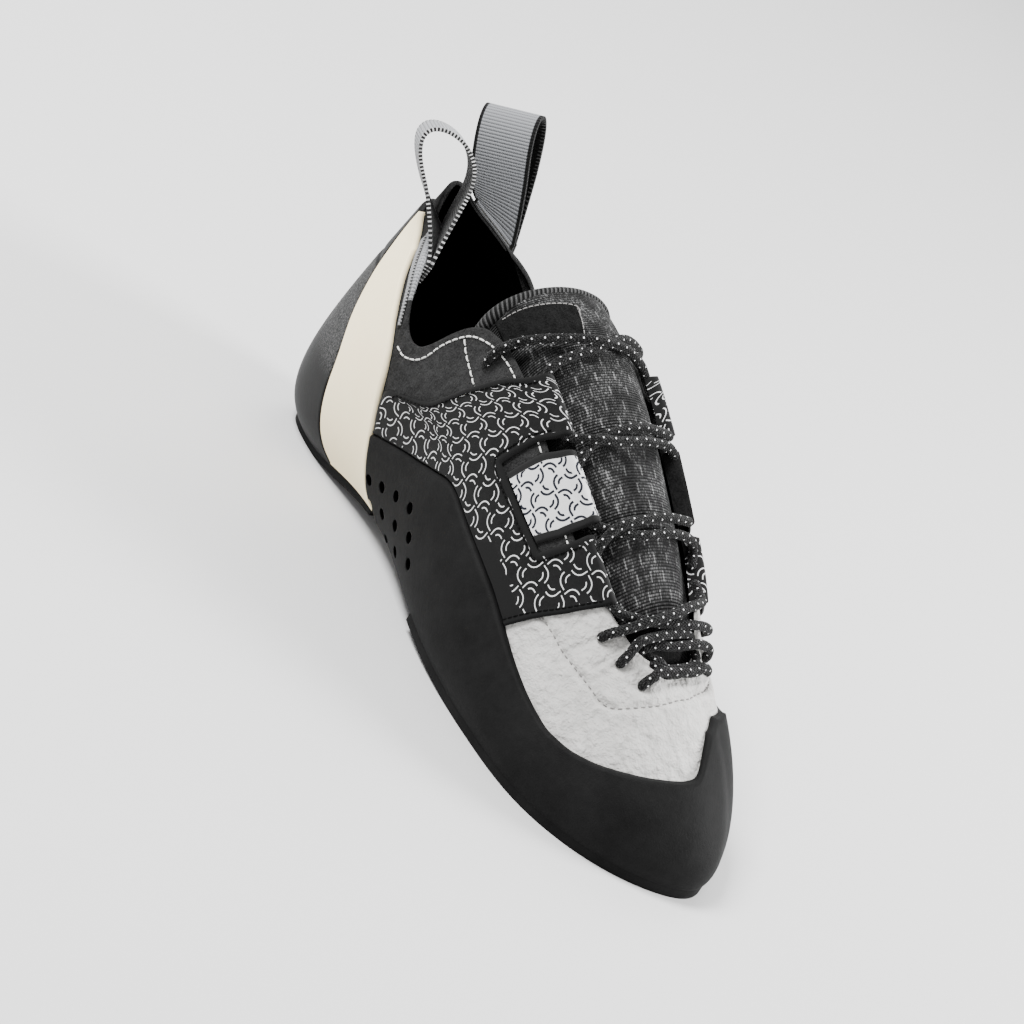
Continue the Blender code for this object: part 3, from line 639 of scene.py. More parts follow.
def knit(graph, where, painted_recess_shade):
    """Fine ribs with faint specks and staggered light dashes, darkened by painted shade in the tongue's
    recesses.
    """
    u, v, _ = graph.split(where)
    rib = graph.waves(v, KNIT_RIB)
    loops = graph.waves(u, KNIT_LOOP)
    cell = graph.join(graph.count(u, KNIT_SPECK), graph.count(v, KNIT_RIB))
    speck = graph.node("ShaderNodeTexWhiteNoise", noise_dimensions="2D")
    graph.put(cell, speck.inputs["Vector"])
    patch = graph.noise(where, 120.0, 2.0)
    light = graph.mul(graph.add(0.10, graph.math("POWER", speck.outputs["Value"], 3.0)), rib)
    light = graph.mul(light, graph.band(patch, 0.25, 0.8))
    column = graph.count(u, DASH_APART)
    x = graph.offset(graph.mul(u, 1 / DASH_APART))
    y = graph.offset(graph.add(graph.mul(v, 1 / DASH_PITCH), graph.mul(column, 0.5)))
    rough = graph.mul(graph.sub(graph.noise(where, 2600.0, 2.0), 0.5), 0.3)
    dash = graph.mul(graph.band(graph.add(graph.math("ABSOLUTE", x), rough), 0.12, 0.04),
                     graph.band(graph.math("ABSOLUTE", y), 0.17, 0.12))
    height = graph.add(graph.add(rib, graph.mul(loops, 0.3)), graph.mul(dash, 0.8))
    dash = graph.mul(dash, graph.add(0.2, graph.mul(rib, 0.5)))
    light = graph.math("MAXIMUM", graph.mul(light, 0.60), graph.mul(dash, graph.band(patch, 0.25, 0.6)))
    # Painted shade: the light threads fall to 0.06 of their brightness in the recesses and under the laces.
    return height, graph.mul(light, graph.add(0.06, graph.mul(painted_recess_shade, 0.94)))


BRAID_STRANDS, BRAID_PITCH = 9.0, 1.2 * MM
SPECKS_ROUND, SPECK_PITCH = 30.0, 0.3 * MM
FLECK_ROWS, FLECK_PITCH = 5.0, 4.0 * MM


def braid(graph, where, turns):
    """Crossing strands of a round cord, with light flecks in screw-like rows."""
    u, v, _ = graph.split(where)
    around = graph.mul(u, BRAID_STRANDS)
    length = graph.mul(v, 1 / BRAID_PITCH)
    first = graph.math("SINE", graph.mul(graph.add(around, length), math.pi))
    second = graph.math("SINE", graph.mul(graph.sub(around, length), math.pi))
    height = graph.math("ABSOLUTE", graph.mul(first, second))
    cell_u = graph.mul(u, FLECK_ROWS)
    row = graph.math("FLOOR", cell_u)
    x = graph.offset(cell_u)
    y = graph.offset(graph.add(graph.mul(v, 1 / FLECK_PITCH), graph.mul(row, turns)))
    fleck = graph.mul(graph.band(graph.math("ABSOLUTE", x), 0.17, 0.10),
                      graph.band(graph.math("ABSOLUTE", y), 0.068, 0.04))
    specks = graph.node("ShaderNodeTexWhiteNoise", noise_dimensions="2D")
    around_speck = graph.math("FLOOR", graph.mul(u, SPECKS_ROUND))
    graph.put(graph.join(around_speck, graph.count(v, SPECK_PITCH)), specks.inputs["Vector"])
    return height, fleck, graph.math("POWER", specks.outputs["Value"], 4.0)


def ribs(graph, where, pitch):
    """Slanted light ribs round a bound edge. u is a share of the way round."""
    u, v, _ = graph.split(where)
    wave = graph.math("FRACT", graph.add(graph.math("DIVIDE", v, pitch), graph.mul(u, 4.0)))
    rib = graph.math("SINE", graph.mul(wave, math.pi))
    broken = graph.noise(where, 900.0, 2.0, 0.7)
    return rib, graph.mul(graph.band(rib, 0.65, 0.95), graph.band(broken, 0.35, 0.6))


WEB_RIB, WEB_WARP, WEB_DOT = 1.1 * MM, 0.6 * MM, 1.2 * MM


def webbing(graph, where, width):
    """Cross ribs and the tape's two edges. v runs along the tape and u across it, both in metres."""
    u, v, _ = graph.split(where)
    height = graph.add(graph.mul(graph.waves(v, WEB_RIB), 0.7), graph.mul(graph.waves(u, WEB_WARP), 0.3))
    to_edge = graph.sub(graph.mul(width, 0.5), graph.math("ABSOLUTE", u))
    return height, graph.band(to_edge, 1.4 * MM, 1.0 * MM)


GROUPS = {
    "nap": group("nap", (("Where", "v"), ("Strength", "f")), ("Height", "Shade"), nap),
    "hide": group("hide", (("Where", "v"), ("Strength", "f")), ("Height", "Shade"), hide),
    "grain": group("grain", (("Where", "v"), ("Strength", "f")), ("Height", "Shade"), grain),
    "strokes": group("strokes", (("Where", "v"), ("Size", "f"), ("Width", "f")), ("Ink",), strokes),
    "knit": group("knit", (("Where", "v"), ("Fade", "f")), ("Height", "Light"), knit),
    "ribs": group("ribs", (("Where", "v"), ("Pitch", "f")), ("Height", "Light"), ribs),
    "braid": group("braid", (("Where", "v"), ("Turns", "f")), ("Height", "Fleck", "Speck"), braid),
    "webbing": group("webbing", (("Where", "v"), ("Width", "f")), ("Height", "Edge"), webbing),
}


def start_material(name, roughness, sheen=0.0, gloss=0.06):
    material = bpy.data.materials.new(name)
    material.use_nodes = True
    graph = Graph(material.node_tree)
    shader = material.node_tree.nodes["Principled BSDF"]
    shader.inputs["Roughness"].default_value = roughness
    shader.inputs["Specular IOR Level"].default_value = gloss
    shader.inputs["Sheen Weight"].default_value = sheen
    shader.inputs["Sheen Roughness"].default_value = 0.5
    return material, graph, shader


def use(graph, name, *values):
    made = graph.node("ShaderNodeGroup", node_tree=GROUPS[name])
    for value, socket in zip(values, made.inputs):
        graph.put(value, socket)
    return made.outputs


def painted(graph, name):
    return graph.node("ShaderNodeAttribute", attribute_name=name).outputs["Fac"]


def object_place(graph):
    return graph.node("ShaderNodeTexCoord").outputs["Object"]


def uv_place(graph):
    return graph.node("ShaderNodeUVMap", uv_map="UVMap").outputs[0]


def bump(graph, shader, height, distance):
    made = graph.node("ShaderNodeBump")
    made.inputs["Strength"].default_value = 1.0
    made.inputs["Distance"].default_value = distance
    graph.put(height, made.inputs["Height"])
    graph.put(made.outputs[0], shader.inputs["Normal"])


def plain(name, effect, dark, light, roughness, depth, sheen=0.0, gloss=0.06):
    """Suede or rubber: a colour that wanders between two shades, and a fine relief."""
    material, graph, shader = start_material(name, roughness, sheen, gloss)
    height, shade = use(graph, effect, object_place(graph), 1.0)[:2]
    graph.put(graph.colours(shade, dark, light), shader.inputs["Base Color"])
    bump(graph, shader, height, depth)
    return material


def printed(name, ground, worn, ink, border, size, width, edge_width):
    """A line print that stops at the folded border."""
    material, graph, shader = start_material(name, 0.85, 0.05)
    mark = use(graph, "strokes", uv_place(graph), size, width)[0]
    inside = graph.band(painted(graph, "border"), edge_width - 0.1 * MM, edge_width + 0.1 * MM)
    height, shade = use(graph, "nap", object_place(graph), 1.0)[:2]
    cloth = graph.colours(inside, border, graph.colours(graph.mul(shade, 0.5), ground, worn))
    mark = graph.mul(mark, inside)
    graph.put(graph.colours(mark, cloth, ink), shader.inputs["Base Color"])
    bump(graph, shader, graph.add(graph.mul(height, 0.25), graph.mul(mark, 0.9)), 0.1 * MM)
    return material


def textured(name, effect, amount, dark, light, depth):
    """A knit or a binding, whose light threads stand out of a dark ground. The amount is a number or
    the name of an attribute."""
    material, graph, shader = start_material(name, 0.9, 0.05)
    given = painted(graph, amount) if isinstance(amount, str) else amount
    height, shine = use(graph, effect, uv_place(graph), given)[:2]
    graph.put(graph.colours(shine, dark, light), shader.inputs["Base Color"])
    bump(graph, shader, height, depth)
    return material


def braided(name):
    """The lace's cord: dark strands with faint specks and light flecks."""
    material, graph, shader = start_material(name, 0.8, 0.05)
    height, fleck, speck = use(graph, "braid", uv_place(graph), 0.37)[:3]
    base = graph.colours(speck, grey(0.002), grey(0.035))
    graph.put(graph.colours(fleck, base, grey(0.75)), shader.inputs["Base Color"])
    bump(graph, shader, height, 0.3 * MM)
    return material


def taped(name, body, width, edge_colour, dots):
    """Webbing of one colour with dotted edges. dots is how strongly the dots show."""
    material, graph, shader = start_material(name, 0.75, 0.1)
    where = uv_place(graph)
    height, edge = use(graph, "webbing", where, width)[:2]
    _, v, _ = graph.split(where)
    dotted = graph.band(graph.math("SINE", graph.mul(v, math.tau / WEB_DOT)), 0.3, 0.6)
    border = graph.colours(graph.mul(dotted, dots), edge_colour, grey(0.5))
    cloth = graph.colours(graph.band(height, 0.55, 0.1), body, tuple(0.3 * c for c in body))
    graph.put(graph.colours(edge, cloth, border), shader.inputs["Base Color"])
    bump(graph, shader, height, 0.3 * MM)
    return material


def solid(name, colour, roughness):
    """One colour, for thread and the floor."""
    material, _, shader = start_material(name, roughness)
    shader.inputs["Base Color"].default_value = (*colour, 1)
    return material


def grey(level):
    return (level, level, level)


# The white suede's colour holds painted highlights on its pebbles, as well as random tone.
WHITE_SUEDE = plain("white_suede", "hide", dark=(0.28, 0.275, 0.265), light=(0.58, 0.57, 0.55),
                    roughness=0.85, depth=2.6 * MM, sheen=0.1)
BLACK_SUEDE = plain("black_suede", "nap", dark=grey(0.0003), light=grey(0.044),
                    roughness=0.95, depth=1.2 * MM, sheen=0.02, gloss=0.02)
DARK_SUEDE = plain("dark_suede", "nap", dark=grey(0.0003), light=grey(0.016),
                   roughness=0.95, depth=1.2 * MM, gloss=0.02)
LINING = plain("lining", "nap", dark=grey(0.0005), light=grey(0.001),
               roughness=0.95, depth=0.1 * MM, gloss=0.0)
RUBBER_BLACK = plain("black_rubber", "grain", dark=grey(0.0004), light=grey(0.012),
                     roughness=0.6, depth=0.3 * MM, gloss=0.05)
RUBBER_CREAM = plain("cream_rubber", "grain", dark=(0.94, 0.79, 0.51), light=(1.0, 0.89, 0.62),
                     roughness=0.6, depth=0.03 * MM)
BOARD = plain("sole_board", "grain", dark=grey(0.002), light=grey(0.004), roughness=0.8, depth=0.05 * MM)
PRINT_BLACK = printed("printed_microfibre", ground=grey(0.003), worn=grey(0.018), ink=grey(0.5),
                      border=grey(0.006), size=5.2 * MM, width=0.027, edge_width=1.9 * MM)
PRINT_WHITE = printed("printed_tab", ground=grey(0.56), worn=grey(0.40), ink=(0.010, 0.011, 0.016),
                      border=grey(0.010), size=4.6 * MM, width=0.070, edge_width=2.6 * MM)
# The knit's light threads are darkened by a painted shade attribute in the tongue's recesses and under the
# laces.
KNIT = textured("tongue_knit", "knit", amount="painted_recess_shade", dark=grey(0.001), light=grey(0.30), depth=0.4 * MM)
BOUND = textured("bound_edge", "ribs", amount=1.5 * MM, dark=grey(0.002), light=grey(0.07), depth=0.4 * MM)
CORD = braided("lace_cord")
TAPE = taped("grey_webbing", (0.20, 0.205, 0.215), WEB_WIDTH, grey(0.003), dots=0.0)
DOTTED_TAPE = taped("dotted_webbing", (0.26, 0.265, 0.275), WEB_WIDTH, grey(0.015), dots=0.9)
TAPE_BACK = taped("black_webbing", grey(0.004), WEB_WIDTH, grey(0.003), dots=0.15)
RIM_TAPE = taped("rim_webbing", (0.26, 0.265, 0.275), RIM_TAPE_WIDTH, grey(0.03), dots=0.5)
WHITE_THREAD = solid("white_thread", (0.60, 0.60, 0.58), 0.7)
BLACK_THREAD = solid("black_thread", grey(0.002), 0.6)
PALE_THREAD = solid("pale_thread", (0.20, 0.195, 0.19), 0.8)


def cup_rubber():
    """The heel's rubber, with a grainy inlay."""
    material, graph, shader = start_material("cup_rubber", 0.5, 0.0, 0.10)
    height, shade = use(graph, "grain", object_place(graph), 1.0)[:2]
    inlay = painted(graph, "inlay")
    fleck = graph.band(graph.noise(object_place(graph), 1500.0, 2.0, 0.6), 0.40, 0.66)
    base = graph.colours(shade, grey(0.0005), grey(0.010))
    graph.put(graph.colours(graph.mul(inlay, fleck), base, grey(0.065)), shader.inputs["Base Color"])
    bump(graph, shader, graph.add(height, graph.mul(graph.mul(inlay, fleck), 1.5)), 0.12 * MM)
    return material


CUP_RUBBER = cup_rubber()


# Upper

# Where the vamp begins, where the quarters end under it, and how high both start under the rubber
VAMP_START, QUARTER_END = 6.45, 6.47
UNDER_RUBBER = 0.30
# The share of a skin's height that rolls over the rim
ROLL_SHARE = 0.12
# How far the toe's throat closes in front of the laces, over the collar's edge
CLOSING = ((7.0, 0.0), (7.4, 0.03), (8.1, 0.035), (8.5, 0.06), (8.9, 0.11), (9.2, 0.24), (9.5, 0.5),
           (11.0, 0.5))


def throat_edge(s):
    """The vamp's upper edge: the collar's, and over the toe the throat's."""
    return collar_edge(s) + read(CLOSING, outer_station(s), 0.06)


def collar_flare(s, t):
    """How far the collar's inner side leans out, from the pull loop to the tongue."""
    inner = np.where(s > TOE, STATIONS - s, -s)
    share = smooth((inner - 1.62) / 0.55) * smooth((3.75 - inner) / 0.6)
    return 5.5 * MM * share * smooth((t - collar_edge(s) + 0.08) / 0.08)


def rim_panel(name, cells, first, end, low, edge, material, width=WALL, relief=None, flare=None, **marks):
    """A skin of the upper whose top edge rolls over the rim to the lining."""
    thing, a, b = grid(name, *cells)
    s = first + (end - first) * a
    t = low + (edge(s) - low) * np.clip(b / (1 - ROLL_SHARE), 0, 1)
    angle = np.clip((b - (1 - ROLL_SHARE)) / ROLL_SHARE, 0, 1) * math.pi
    lift = width / 2 * (np.cos(angle) - 1)
    if relief:
        lift = lift + relief(s, t) * (angle == 0)
    if flare:
        lift = lift + flare(s, t)
    up = unit(form(s, t + 0.004) - form(s, t - 0.004))
    open_edge = np.clip((1.5 - edge(s)) / 0.3, 0, 1)
    set_vertices(thing, lay(s, t, lift) + up * (np.sin(angle) * width / 2 * open_edge)[:, None])
    face_out(thing, s, t)
    finish_piece(thing, material, "upper", **marks)


def near_line(places, s, t):
    """Distance of each place from a line through (s, t) places."""
    line = through(places, 200)
    marks = lay(line[:, 0], line[:, 1], 0.0)
    tree = kdtree.KDTree(len(marks))
    for k, mark in enumerate(marks):
        tree.insert(mark, k)
    tree.balance()
    return np.array([tree.find(place)[2] for place in form(s, t)])


VAMP_SEAM = ((6.85, 0.715), (7.0, 0.72), (7.17, 0.72), (7.37, 0.712), (7.69, 0.71), (8.02, 0.70),
             (8.35, 0.678), (8.6, 0.69), (8.81, 0.72), (9.2, 0.77), (9.59, 0.81), (10.2, 0.865),
             (10.86, 0.90), (11.8, 0.89), (12.63, 0.86), (13.6, 0.80), (14.4, 0.745), (15.2, 0.73))
EYELETS = ((7.60, 0.91), (8.17, 0.905), (8.97, 0.88))
CREASES = (((7.60, 0.90), (7.50, 0.80), (7.42, 0.72)), ((8.17, 0.90), (8.10, 0.80), (8.02, 0.73)),
           ((8.97, 0.87), (8.85, 0.80), (8.70, 0.73)), ((7.9, 0.97), (7.95, 0.86), (7.86, 0.76)),
           ((7.05, 0.98), (7.22, 0.88), (7.25, 0.80)))


def groove(distance, width):
    """1 on a line and 0 away from it."""
    return np.exp(-(distance / width) ** 2)


def vamp_relief(s, t):
    """The seam's step, the creases, the throat's fold and the dents round the eyelets."""
    seam = near_line(VAMP_SEAM, s, t)
    lift = 0.35 * MM * groove(seam - 2.4 * MM, 1.6 * MM) - 0.9 * MM * groove(seam, 0.9 * MM)
    for crease in CREASES:
        lift = lift - 0.5 * MM * groove(near_line(crease, s, t), 0.9 * MM)
    fold = [(station, throat_edge(station) - 0.055) for station in np.linspace(7.1, 9.3, 12)]
    lift = lift - 0.3 * MM * groove(near_line(fold, s, t), 0.6 * MM)
    for near, height in EYELETS:
        for station in (near, STATIONS - near):
            away = np.linalg.norm(form(s, t) - form(station, height), axis=1)
            lift = lift - 0.9 * MM * groove(away, 2.6 * MM)
    return lift


def line_upper():
    """The lining, just inside the wall, from under the insole up to the rim."""
    lining, a, b = grid("lining", 300, 40)
    s = STATIONS * a
    t = 0.06 + (collar_edge(s) - 0.05) * b
    set_vertices(lining, lay(s, t, -WALL - 0.1 * MM * smooth((1 - b) * 8)))
    edit(lining, lambda: bpy.ops.mesh.remove_doubles(threshold=MERGE))
    finish_piece(lining, LINING, "upper")


rim_panel("toe_suede", (300, 80), VAMP_START, STATIONS - VAMP_START, UNDER_RUBBER, throat_edge,
          WHITE_SUEDE, relief=vamp_relief, replaced=("upper",))
rim_panel("collar_suede", (330, 60), -QUARTER_END, QUARTER_END, UNDER_RUBBER, collar_edge,
          BLACK_SUEDE, width=COLLAR_WALL, flare=collar_flare)
line_upper()

COLLAR_STITCHES = ((2.81, 0.725), (3.00, 0.722), (3.22, 0.748), (3.35, 0.79), (3.45, 0.85),
                   (3.60, 0.91), (3.76, 0.952), (4.0, 0.98), (4.27, 1.0), (4.55, 1.016), (5.1, 1.022),
                   (5.7, 1.01), (6.4, 0.98), (6.45, 0.975))
BRANCH_STITCHES = ((3.70, 0.925), (3.86, 0.893), (4.06, 0.868), (4.27, 0.848))

for side, turn in SIDES:
    for name, line in (("collar", COLLAR_STITCHES), ("collar_branch", BRANCH_STITCHES)):
        stitches(f"{name}_stitches_{side}", [(turn(s), t) for s, t in line],
                 lambda s, t: 0.1 * MM + collar_flare(s, t), WHITE_THREAD,
                 pitch=2.9 * MM, share=0.6, width=0.6 * MM)
stitches("vamp_seam_stitches", VAMP_SEAM, -0.6 * MM, PALE_THREAD, pitch=2.4 * MM, share=0.45, width=0.4 * MM)


# Rubber

# Heights at which the rubber starts, tucked under the feather edge, and the bands' two ends
RAND_FOOT, CUP_FOOT = -0.03, -0.02
BAND_LOW, BAND_HIGH = 0.02, 0.895


def rubber_lift(distance):
    """Rubber that rounds up to its thickness over the given distance from its edge."""
    return RUBBER_FOOT + (RUBBER - RUBBER_FOOT) * round_edge(distance, RUBBER_ROUNDING)


def rand_place(a, b):
    """Stations between the bands and heights up to the rand's top, found together."""
    t = RAND_FOOT + 0.5 * b
    for _ in range(8):
        rear = read(BAND_FRONT, t, 0.02) + 0.02
        s = rear + (STATIONS - 2 * rear) * a
        t = RAND_FOOT + (read(RAND_TOP, s, 0.08) - RAND_FOOT) * b
    return s, t


def rand_lift(thing, a, b, s, t, flat):
    return rubber_lift(border_distance(thing, flat, b > 0.99))


HOLE_RADIUS = 1.95 * MM
HOLES = ((3.41, 0.18), (3.73, 0.23), (4.10, 0.285), (4.50, 0.34), (3.47, 0.04), (3.85, 0.11),
         (4.28, 0.18), (4.72, 0.26), (4.02, 0.0), (4.43, 0.075), (4.90, 0.18))
rand = panel("rand", (360, 34), rand_place, rand_lift, inward=1.6 * MM)
dress(rand, RUBBER_BLACK, LINING)
for s, t in HOLES:
    inner, outer = (Vector(lay(s, t, h)) for h in (0.2 * MM, 5 * MM))
    bpy.ops.object.select_all(action="DESELECT")
    bpy.ops.mesh.primitive_cylinder_add(vertices=28, radius=HOLE_RADIUS, depth=(outer - inner).length)
    punch = start_object("punch")
    dress(punch, LINING)
    punch.data.transform((outer - inner).to_track_quat("Z", "Y").to_matrix().to_4x4())
    punch.data.transform(Matrix.Translation((inner + outer) / 2))
    modify(rand, "BOOLEAN", object=punch, operation="DIFFERENCE", solver="EXACT", material_mode="TRANSFER")
    bpy.data.objects.remove(punch)
finish_piece(rand, slot="rand", replaced=("rand",))


CUP_GROOVE = 0.70


def cup_place(a, b):
    """Stations between the two bands and heights up to the cup's top, found together."""
    t = 0.02 + 0.8 * b
    for _ in range(6):
        limit = read(BAND_REAR, t, 0.02) - 0.01
        s = limit * (2 * a - 1)
        t = CUP_FOOT + (read(CUP_TOP, np.abs(s)) - CUP_FOOT) * b
    return s, t


def cup_lift(thing, a, b, s, t, flat):
    lift = rubber_lift(border_distance(thing, flat, b > 0.99))
    side = border_distance(thing, flat, (a < 0.001) | (a > 0.999))
    lift = lift - 0.3 * MM * (1 - round_edge(side, 0.8 * MM))
    return lift - 0.5 * MM * groove(t - CUP_GROOVE, 0.010)


def cup_inlay(thing, a, b, s, t, flat):
    """1 on the grainy field under the groove, fading out downwards."""
    return smooth((CUP_GROOVE - 0.01 - t) / 0.01) * smooth((t - 0.36) / 0.10)


cup = panel("heel_cup", (150, 150), cup_place, cup_lift, inward=1.5 * MM, values={"inlay": cup_inlay})
finish_piece(cup, CUP_RUBBER, "heel_cup", ("heel_cup",))

for side, turn in SIDES:
    def band_place(a, b, turn=turn):
        t = BAND_LOW + (BAND_HIGH - BAND_LOW) * b
        rear, front = read(BAND_REAR, t, 0.03), read(BAND_FRONT, t, 0.03)
        return turn(rear + (front - rear) * a), t

    def band_lift(thing, a, b, s, t, flat):
        distance = border_distance(thing, flat, b > 0.01)
        return RUBBER_FOOT + (RUBBER - 0.3 * MM) * round_edge(distance, 0.8 * MM)

    band = panel(f"slingshot_band_{side}", (80, 130), band_place, band_lift, inward=1.6 * MM)
    finish_piece(band, RUBBER_CREAM, f"slingshot_band_{side}", (f"slingshot_band_{side}",))


def plate(name, first, end, ledge, low, high, material, bevel):
    """A sole layer between two levels over the feather edge, cut off at the floor, with rounded edges.
    The ledge says how far it stands out at stations, in millimetres."""
    thing, a, b = grid(name, 90, 24)
    s = first + (end - first) * a

    def level(share, height):
        out = np.interp(s, *zip(*ledge))[:, None] * MM
        outer = rib_points(s)[0] + outward(s) * out
        inner = rib_points(STATIONS - s)[0] + outward(STATIONS - s) * out
        places = outer + (inner - outer) * share[:, None]
        places[:, 2] += height
        return places

    set_vertices(thing, level(b, high))
    edit(thing, lambda: bpy.ops.mesh.remove_doubles(threshold=MERGE),
         lambda: bpy.ops.mesh.normals_make_consistent(inside=False))
    if thing.data.polygons[len(thing.data.polygons) // 2].normal.z < 0:
        edit(thing, bpy.ops.mesh.flip_normals)
    modify(thing, "SOLIDIFY", thickness=high - low, offset=-1, use_even_offset=True)
    co = read_vertices(thing)
    co[:, 2] = np.maximum(co[:, 2], 0)
    set_vertices(thing, co)
    modify(thing, "BEVEL", width=bevel, segments=3, limit_method="ANGLE", angle_limit=math.radians(50))
    finish_piece(thing, material, name, (name,))


HEEL_END, TOE_END = 0.02, 10.98
RUBBER_LEDGE = ((5.2, 2.0), (11, 2.2))
HEEL_LEDGE = ((0, 1.7), (2.5, 1.5), (3.4, 0.2))
BOARD_LEDGE = ((0, -1.9), (11, -1.9))

plate("outsole_front", 5.2, TOE_END, RUBBER_LEDGE, -4.2 * MM, -0.5 * MM, RUBBER_BLACK, 1.2 * MM)
plate("outsole_heel", HEEL_END, 3.4, HEEL_LEDGE, -4.2 * MM, -0.5 * MM, RUBBER_BLACK, 1.2 * MM)
plate("midsole", HEEL_END, TOE_END, BOARD_LEDGE, 0, 1.7 * MM, BOARD, 0.3 * MM)
plate("insole", HEEL_END, TOE_END, BOARD_LEDGE, 2.0 * MM, 3.6 * MM, LINING, 0.4 * MM)


# Overlays and tabs

# A unit of height at the throat in metres, the length and depth of a fold round the lace, and the
# length over which the strap behind it thins
THROAT_RISE = 0.057
FOLD, FOLD_DEPTH, THINNING = 2.4 * MM, 2.2 * MM, 3.4 * MM
STRAP_LIFT = 0.1 * MM
TAB_LOW, TAB_END = 0.85, 1.185


def finger_lift(thickness, to_end, tip):
    """The lift of a strap that is folded round the lace at its end."""
    x = to_end / FOLD
    bulge = np.sqrt(np.clip(1 - (np.clip(x, 0, 1) - 1) ** 2, 0, 1))
    top = tip - (tip - thickness) * smooth((to_end - FOLD) / THINNING)
    return STRAP_LIFT + np.where(x < 1, (tip + FOLD_DEPTH) * bulge - FOLD_DEPTH, top)


def overlay_place(turn):
    """Three strips side by side, rear finger, window and front finger, and two rows, one on each side
    of the window's floor."""
    tables = (OVERLAY_REAR, WINDOW_REAR, WINDOW_FRONT, OVERLAY_FRONT)

    def place(a, b):
        strip, row = 3 * a, 2 * b
        k = np.minimum(strip, 2).astype(int)

        def station(t):
            edges = [read(table, t, 0.02) for table in tables]
            low, high = np.choose(k, edges[:3]), np.choose(k, edges[1:])
            return low + (high - low) * (strip - k)

        t_low = np.full_like(a, 0.5)
        for _ in range(12):
            t_low = read(RAND_TOP, turn(station(t_low)), 0.08) + 0.004
        end = read(FINGER_END, station(np.full_like(a, 1.1)))
        t = np.where(row < 1, t_low + (WINDOW_FLOOR - t_low) * row,
                     WINDOW_FLOOR + (end - WINDOW_FLOOR) * (row - 1))
        return turn(station(t)), t

    return place


def overlay_border(thing, a, b, s, t, flat):
    """Distance from the folded edges: both sides and the window's rim."""
    chosen = (a < 0.001) | (a > 0.999) | ((b < 0.999) & (b > 0.499) & (a > 0.33) & (a < 0.67))
    return border_distance(thing, flat, chosen & (b > 0.001))


def print_border(thing, a, b, s, t, flat):
    """The border attribute: small at the folded edges and on the plain strip over the rand."""
    strip = border_distance(thing, flat, b < 0.001) - 3.6 * MM + 5 * MM * smooth((0.52 - a) / 0.06)
    return np.minimum(overlay_border(thing, a, b, s, t, flat), strip)


def overlay_lift(thing, a, b, s, t, flat):
    """Microfibre with a raised hem, whose fingers fold round the lace."""
    edge = overlay_border(thing, a, b, s, t, flat)
    thick = 1.3 * MM + 0.3 * MM * smooth((2.3 * MM - edge) / (0.5 * MM))
    to_end = (read(FINGER_END, outer_station(s)) - t) * THROAT_RISE
    lift = finger_lift(thick, to_end, 3.4 * MM)
    return lift * round_edge(edge + 0.15 * MM, 0.9 * MM) - 0.2 * MM * (b < 0.01)


def side_uv(laid, a, b, s, t):
    """Length along the foot and up the laid piece."""
    lengths, firsts = column_lengths(laid, a, b)
    return np.stack((form(s, 0.8)[:, 0], rise_of(s, t, 0.4)[firsts] + lengths), -1)


def in_window(a, b):
    return 1 / 3 < a < 2 / 3 and b > 0.5


def tab_border(thing, a, b, s, t, flat):
    """Distance from the two folded sides of a middle tab."""
    return border_distance(thing, flat, ((a < 0.001) | (a > 0.999)) & (b > 0.001))


def tab_lift(thing, a, b, s, t, flat):
    edge = tab_border(thing, a, b, s, t, flat)
    lift = finger_lift(1.5 * MM, (TAB_END - t) * THROAT_RISE, 3.2 * MM)
    return lift * round_edge(edge + 0.1 * MM, 1.0 * MM)


def overlay_seams(turn):
    """The lines of stitches beside the overlay's rear edge, its front edge and its window."""
    insets = ((0.578, 0.20), (0.60, 0.17), (0.63, 0.10), (0.67, 0.08), (0.76, 0.085), (0.88, 0.085),
              (0.98, 0.08), (1.07, 0.08), (1.13, 0.08))
    yield "rear", [(turn(read(OVERLAY_REAR, t) + inset), t) for t, inset in insets]
    yield "front", [(turn(read(OVERLAY_FRONT, t) - 0.075), t) for t in (0.56, 0.67, 0.82, 0.94, 1.04)]
    down = [(turn(read(WINDOW_REAR, t) - 0.085), t) for t in (1.10, 1.0, 0.90, 0.83)]
    along = [(turn(s), WINDOW_FLOOR - 0.032) for s in (5.35, 5.7, 6.1, 6.3)]
    up = [(turn(read(WINDOW_FRONT, t) + 0.085), t) for t in (0.83, 0.92, 1.0, 1.06)]
    yield "window", down + along + up


for side, turn in SIDES:
    overlay = panel(f"overlay_{side}", (108, 96), overlay_place(turn), overlay_lift, gap=in_window,
                    uv=side_uv, values={"border": print_border})
    finish_piece(overlay, PRINT_BLACK, f"overlay_{side}", (f"overlay_{side}",))

    def tab_place(a, b, turn=turn):
        t = TAB_LOW + (TAB_END - TAB_LOW) * b
        rear, front = read(WINDOW_REAR, t) + 0.12, read(WINDOW_FRONT, t) - 0.09
        return turn(rear + (front - rear) * a), t

    tab = panel(f"middle_tab_{side}", (44, 44), tab_place, tab_lift, uv=side_uv,
                values={"border": tab_border})
    finish_piece(tab, PRINT_WHITE if side == "lateral" else DARK_SUEDE, f"middle_tab_{side}",
                 (f"middle_tab_{side}",))

    for seam, line in overlay_seams(turn):
        stitches(f"overlay_{seam}_stitches_{side}", line, 1.72 * MM, BLACK_THREAD, pitch=1.9 * MM,
                 share=0.62, width=0.5 * MM, slot=f"overlay_{side}")


# Tongue

TONGUE_REAR, TONGUE_FRONT = 3.72, 10.4
TONGUE_THICKNESS = 3.6 * MM
# The tongue's middle and half its width, as heights over the instep
TONGUE_MIDDLE, TONGUE_HALF = 1.47, 0.42


def tongue_place(a, b):
    return TONGUE_REAR + (TONGUE_FRONT - TONGUE_REAR) * a, 0.90 + 1.20 * b


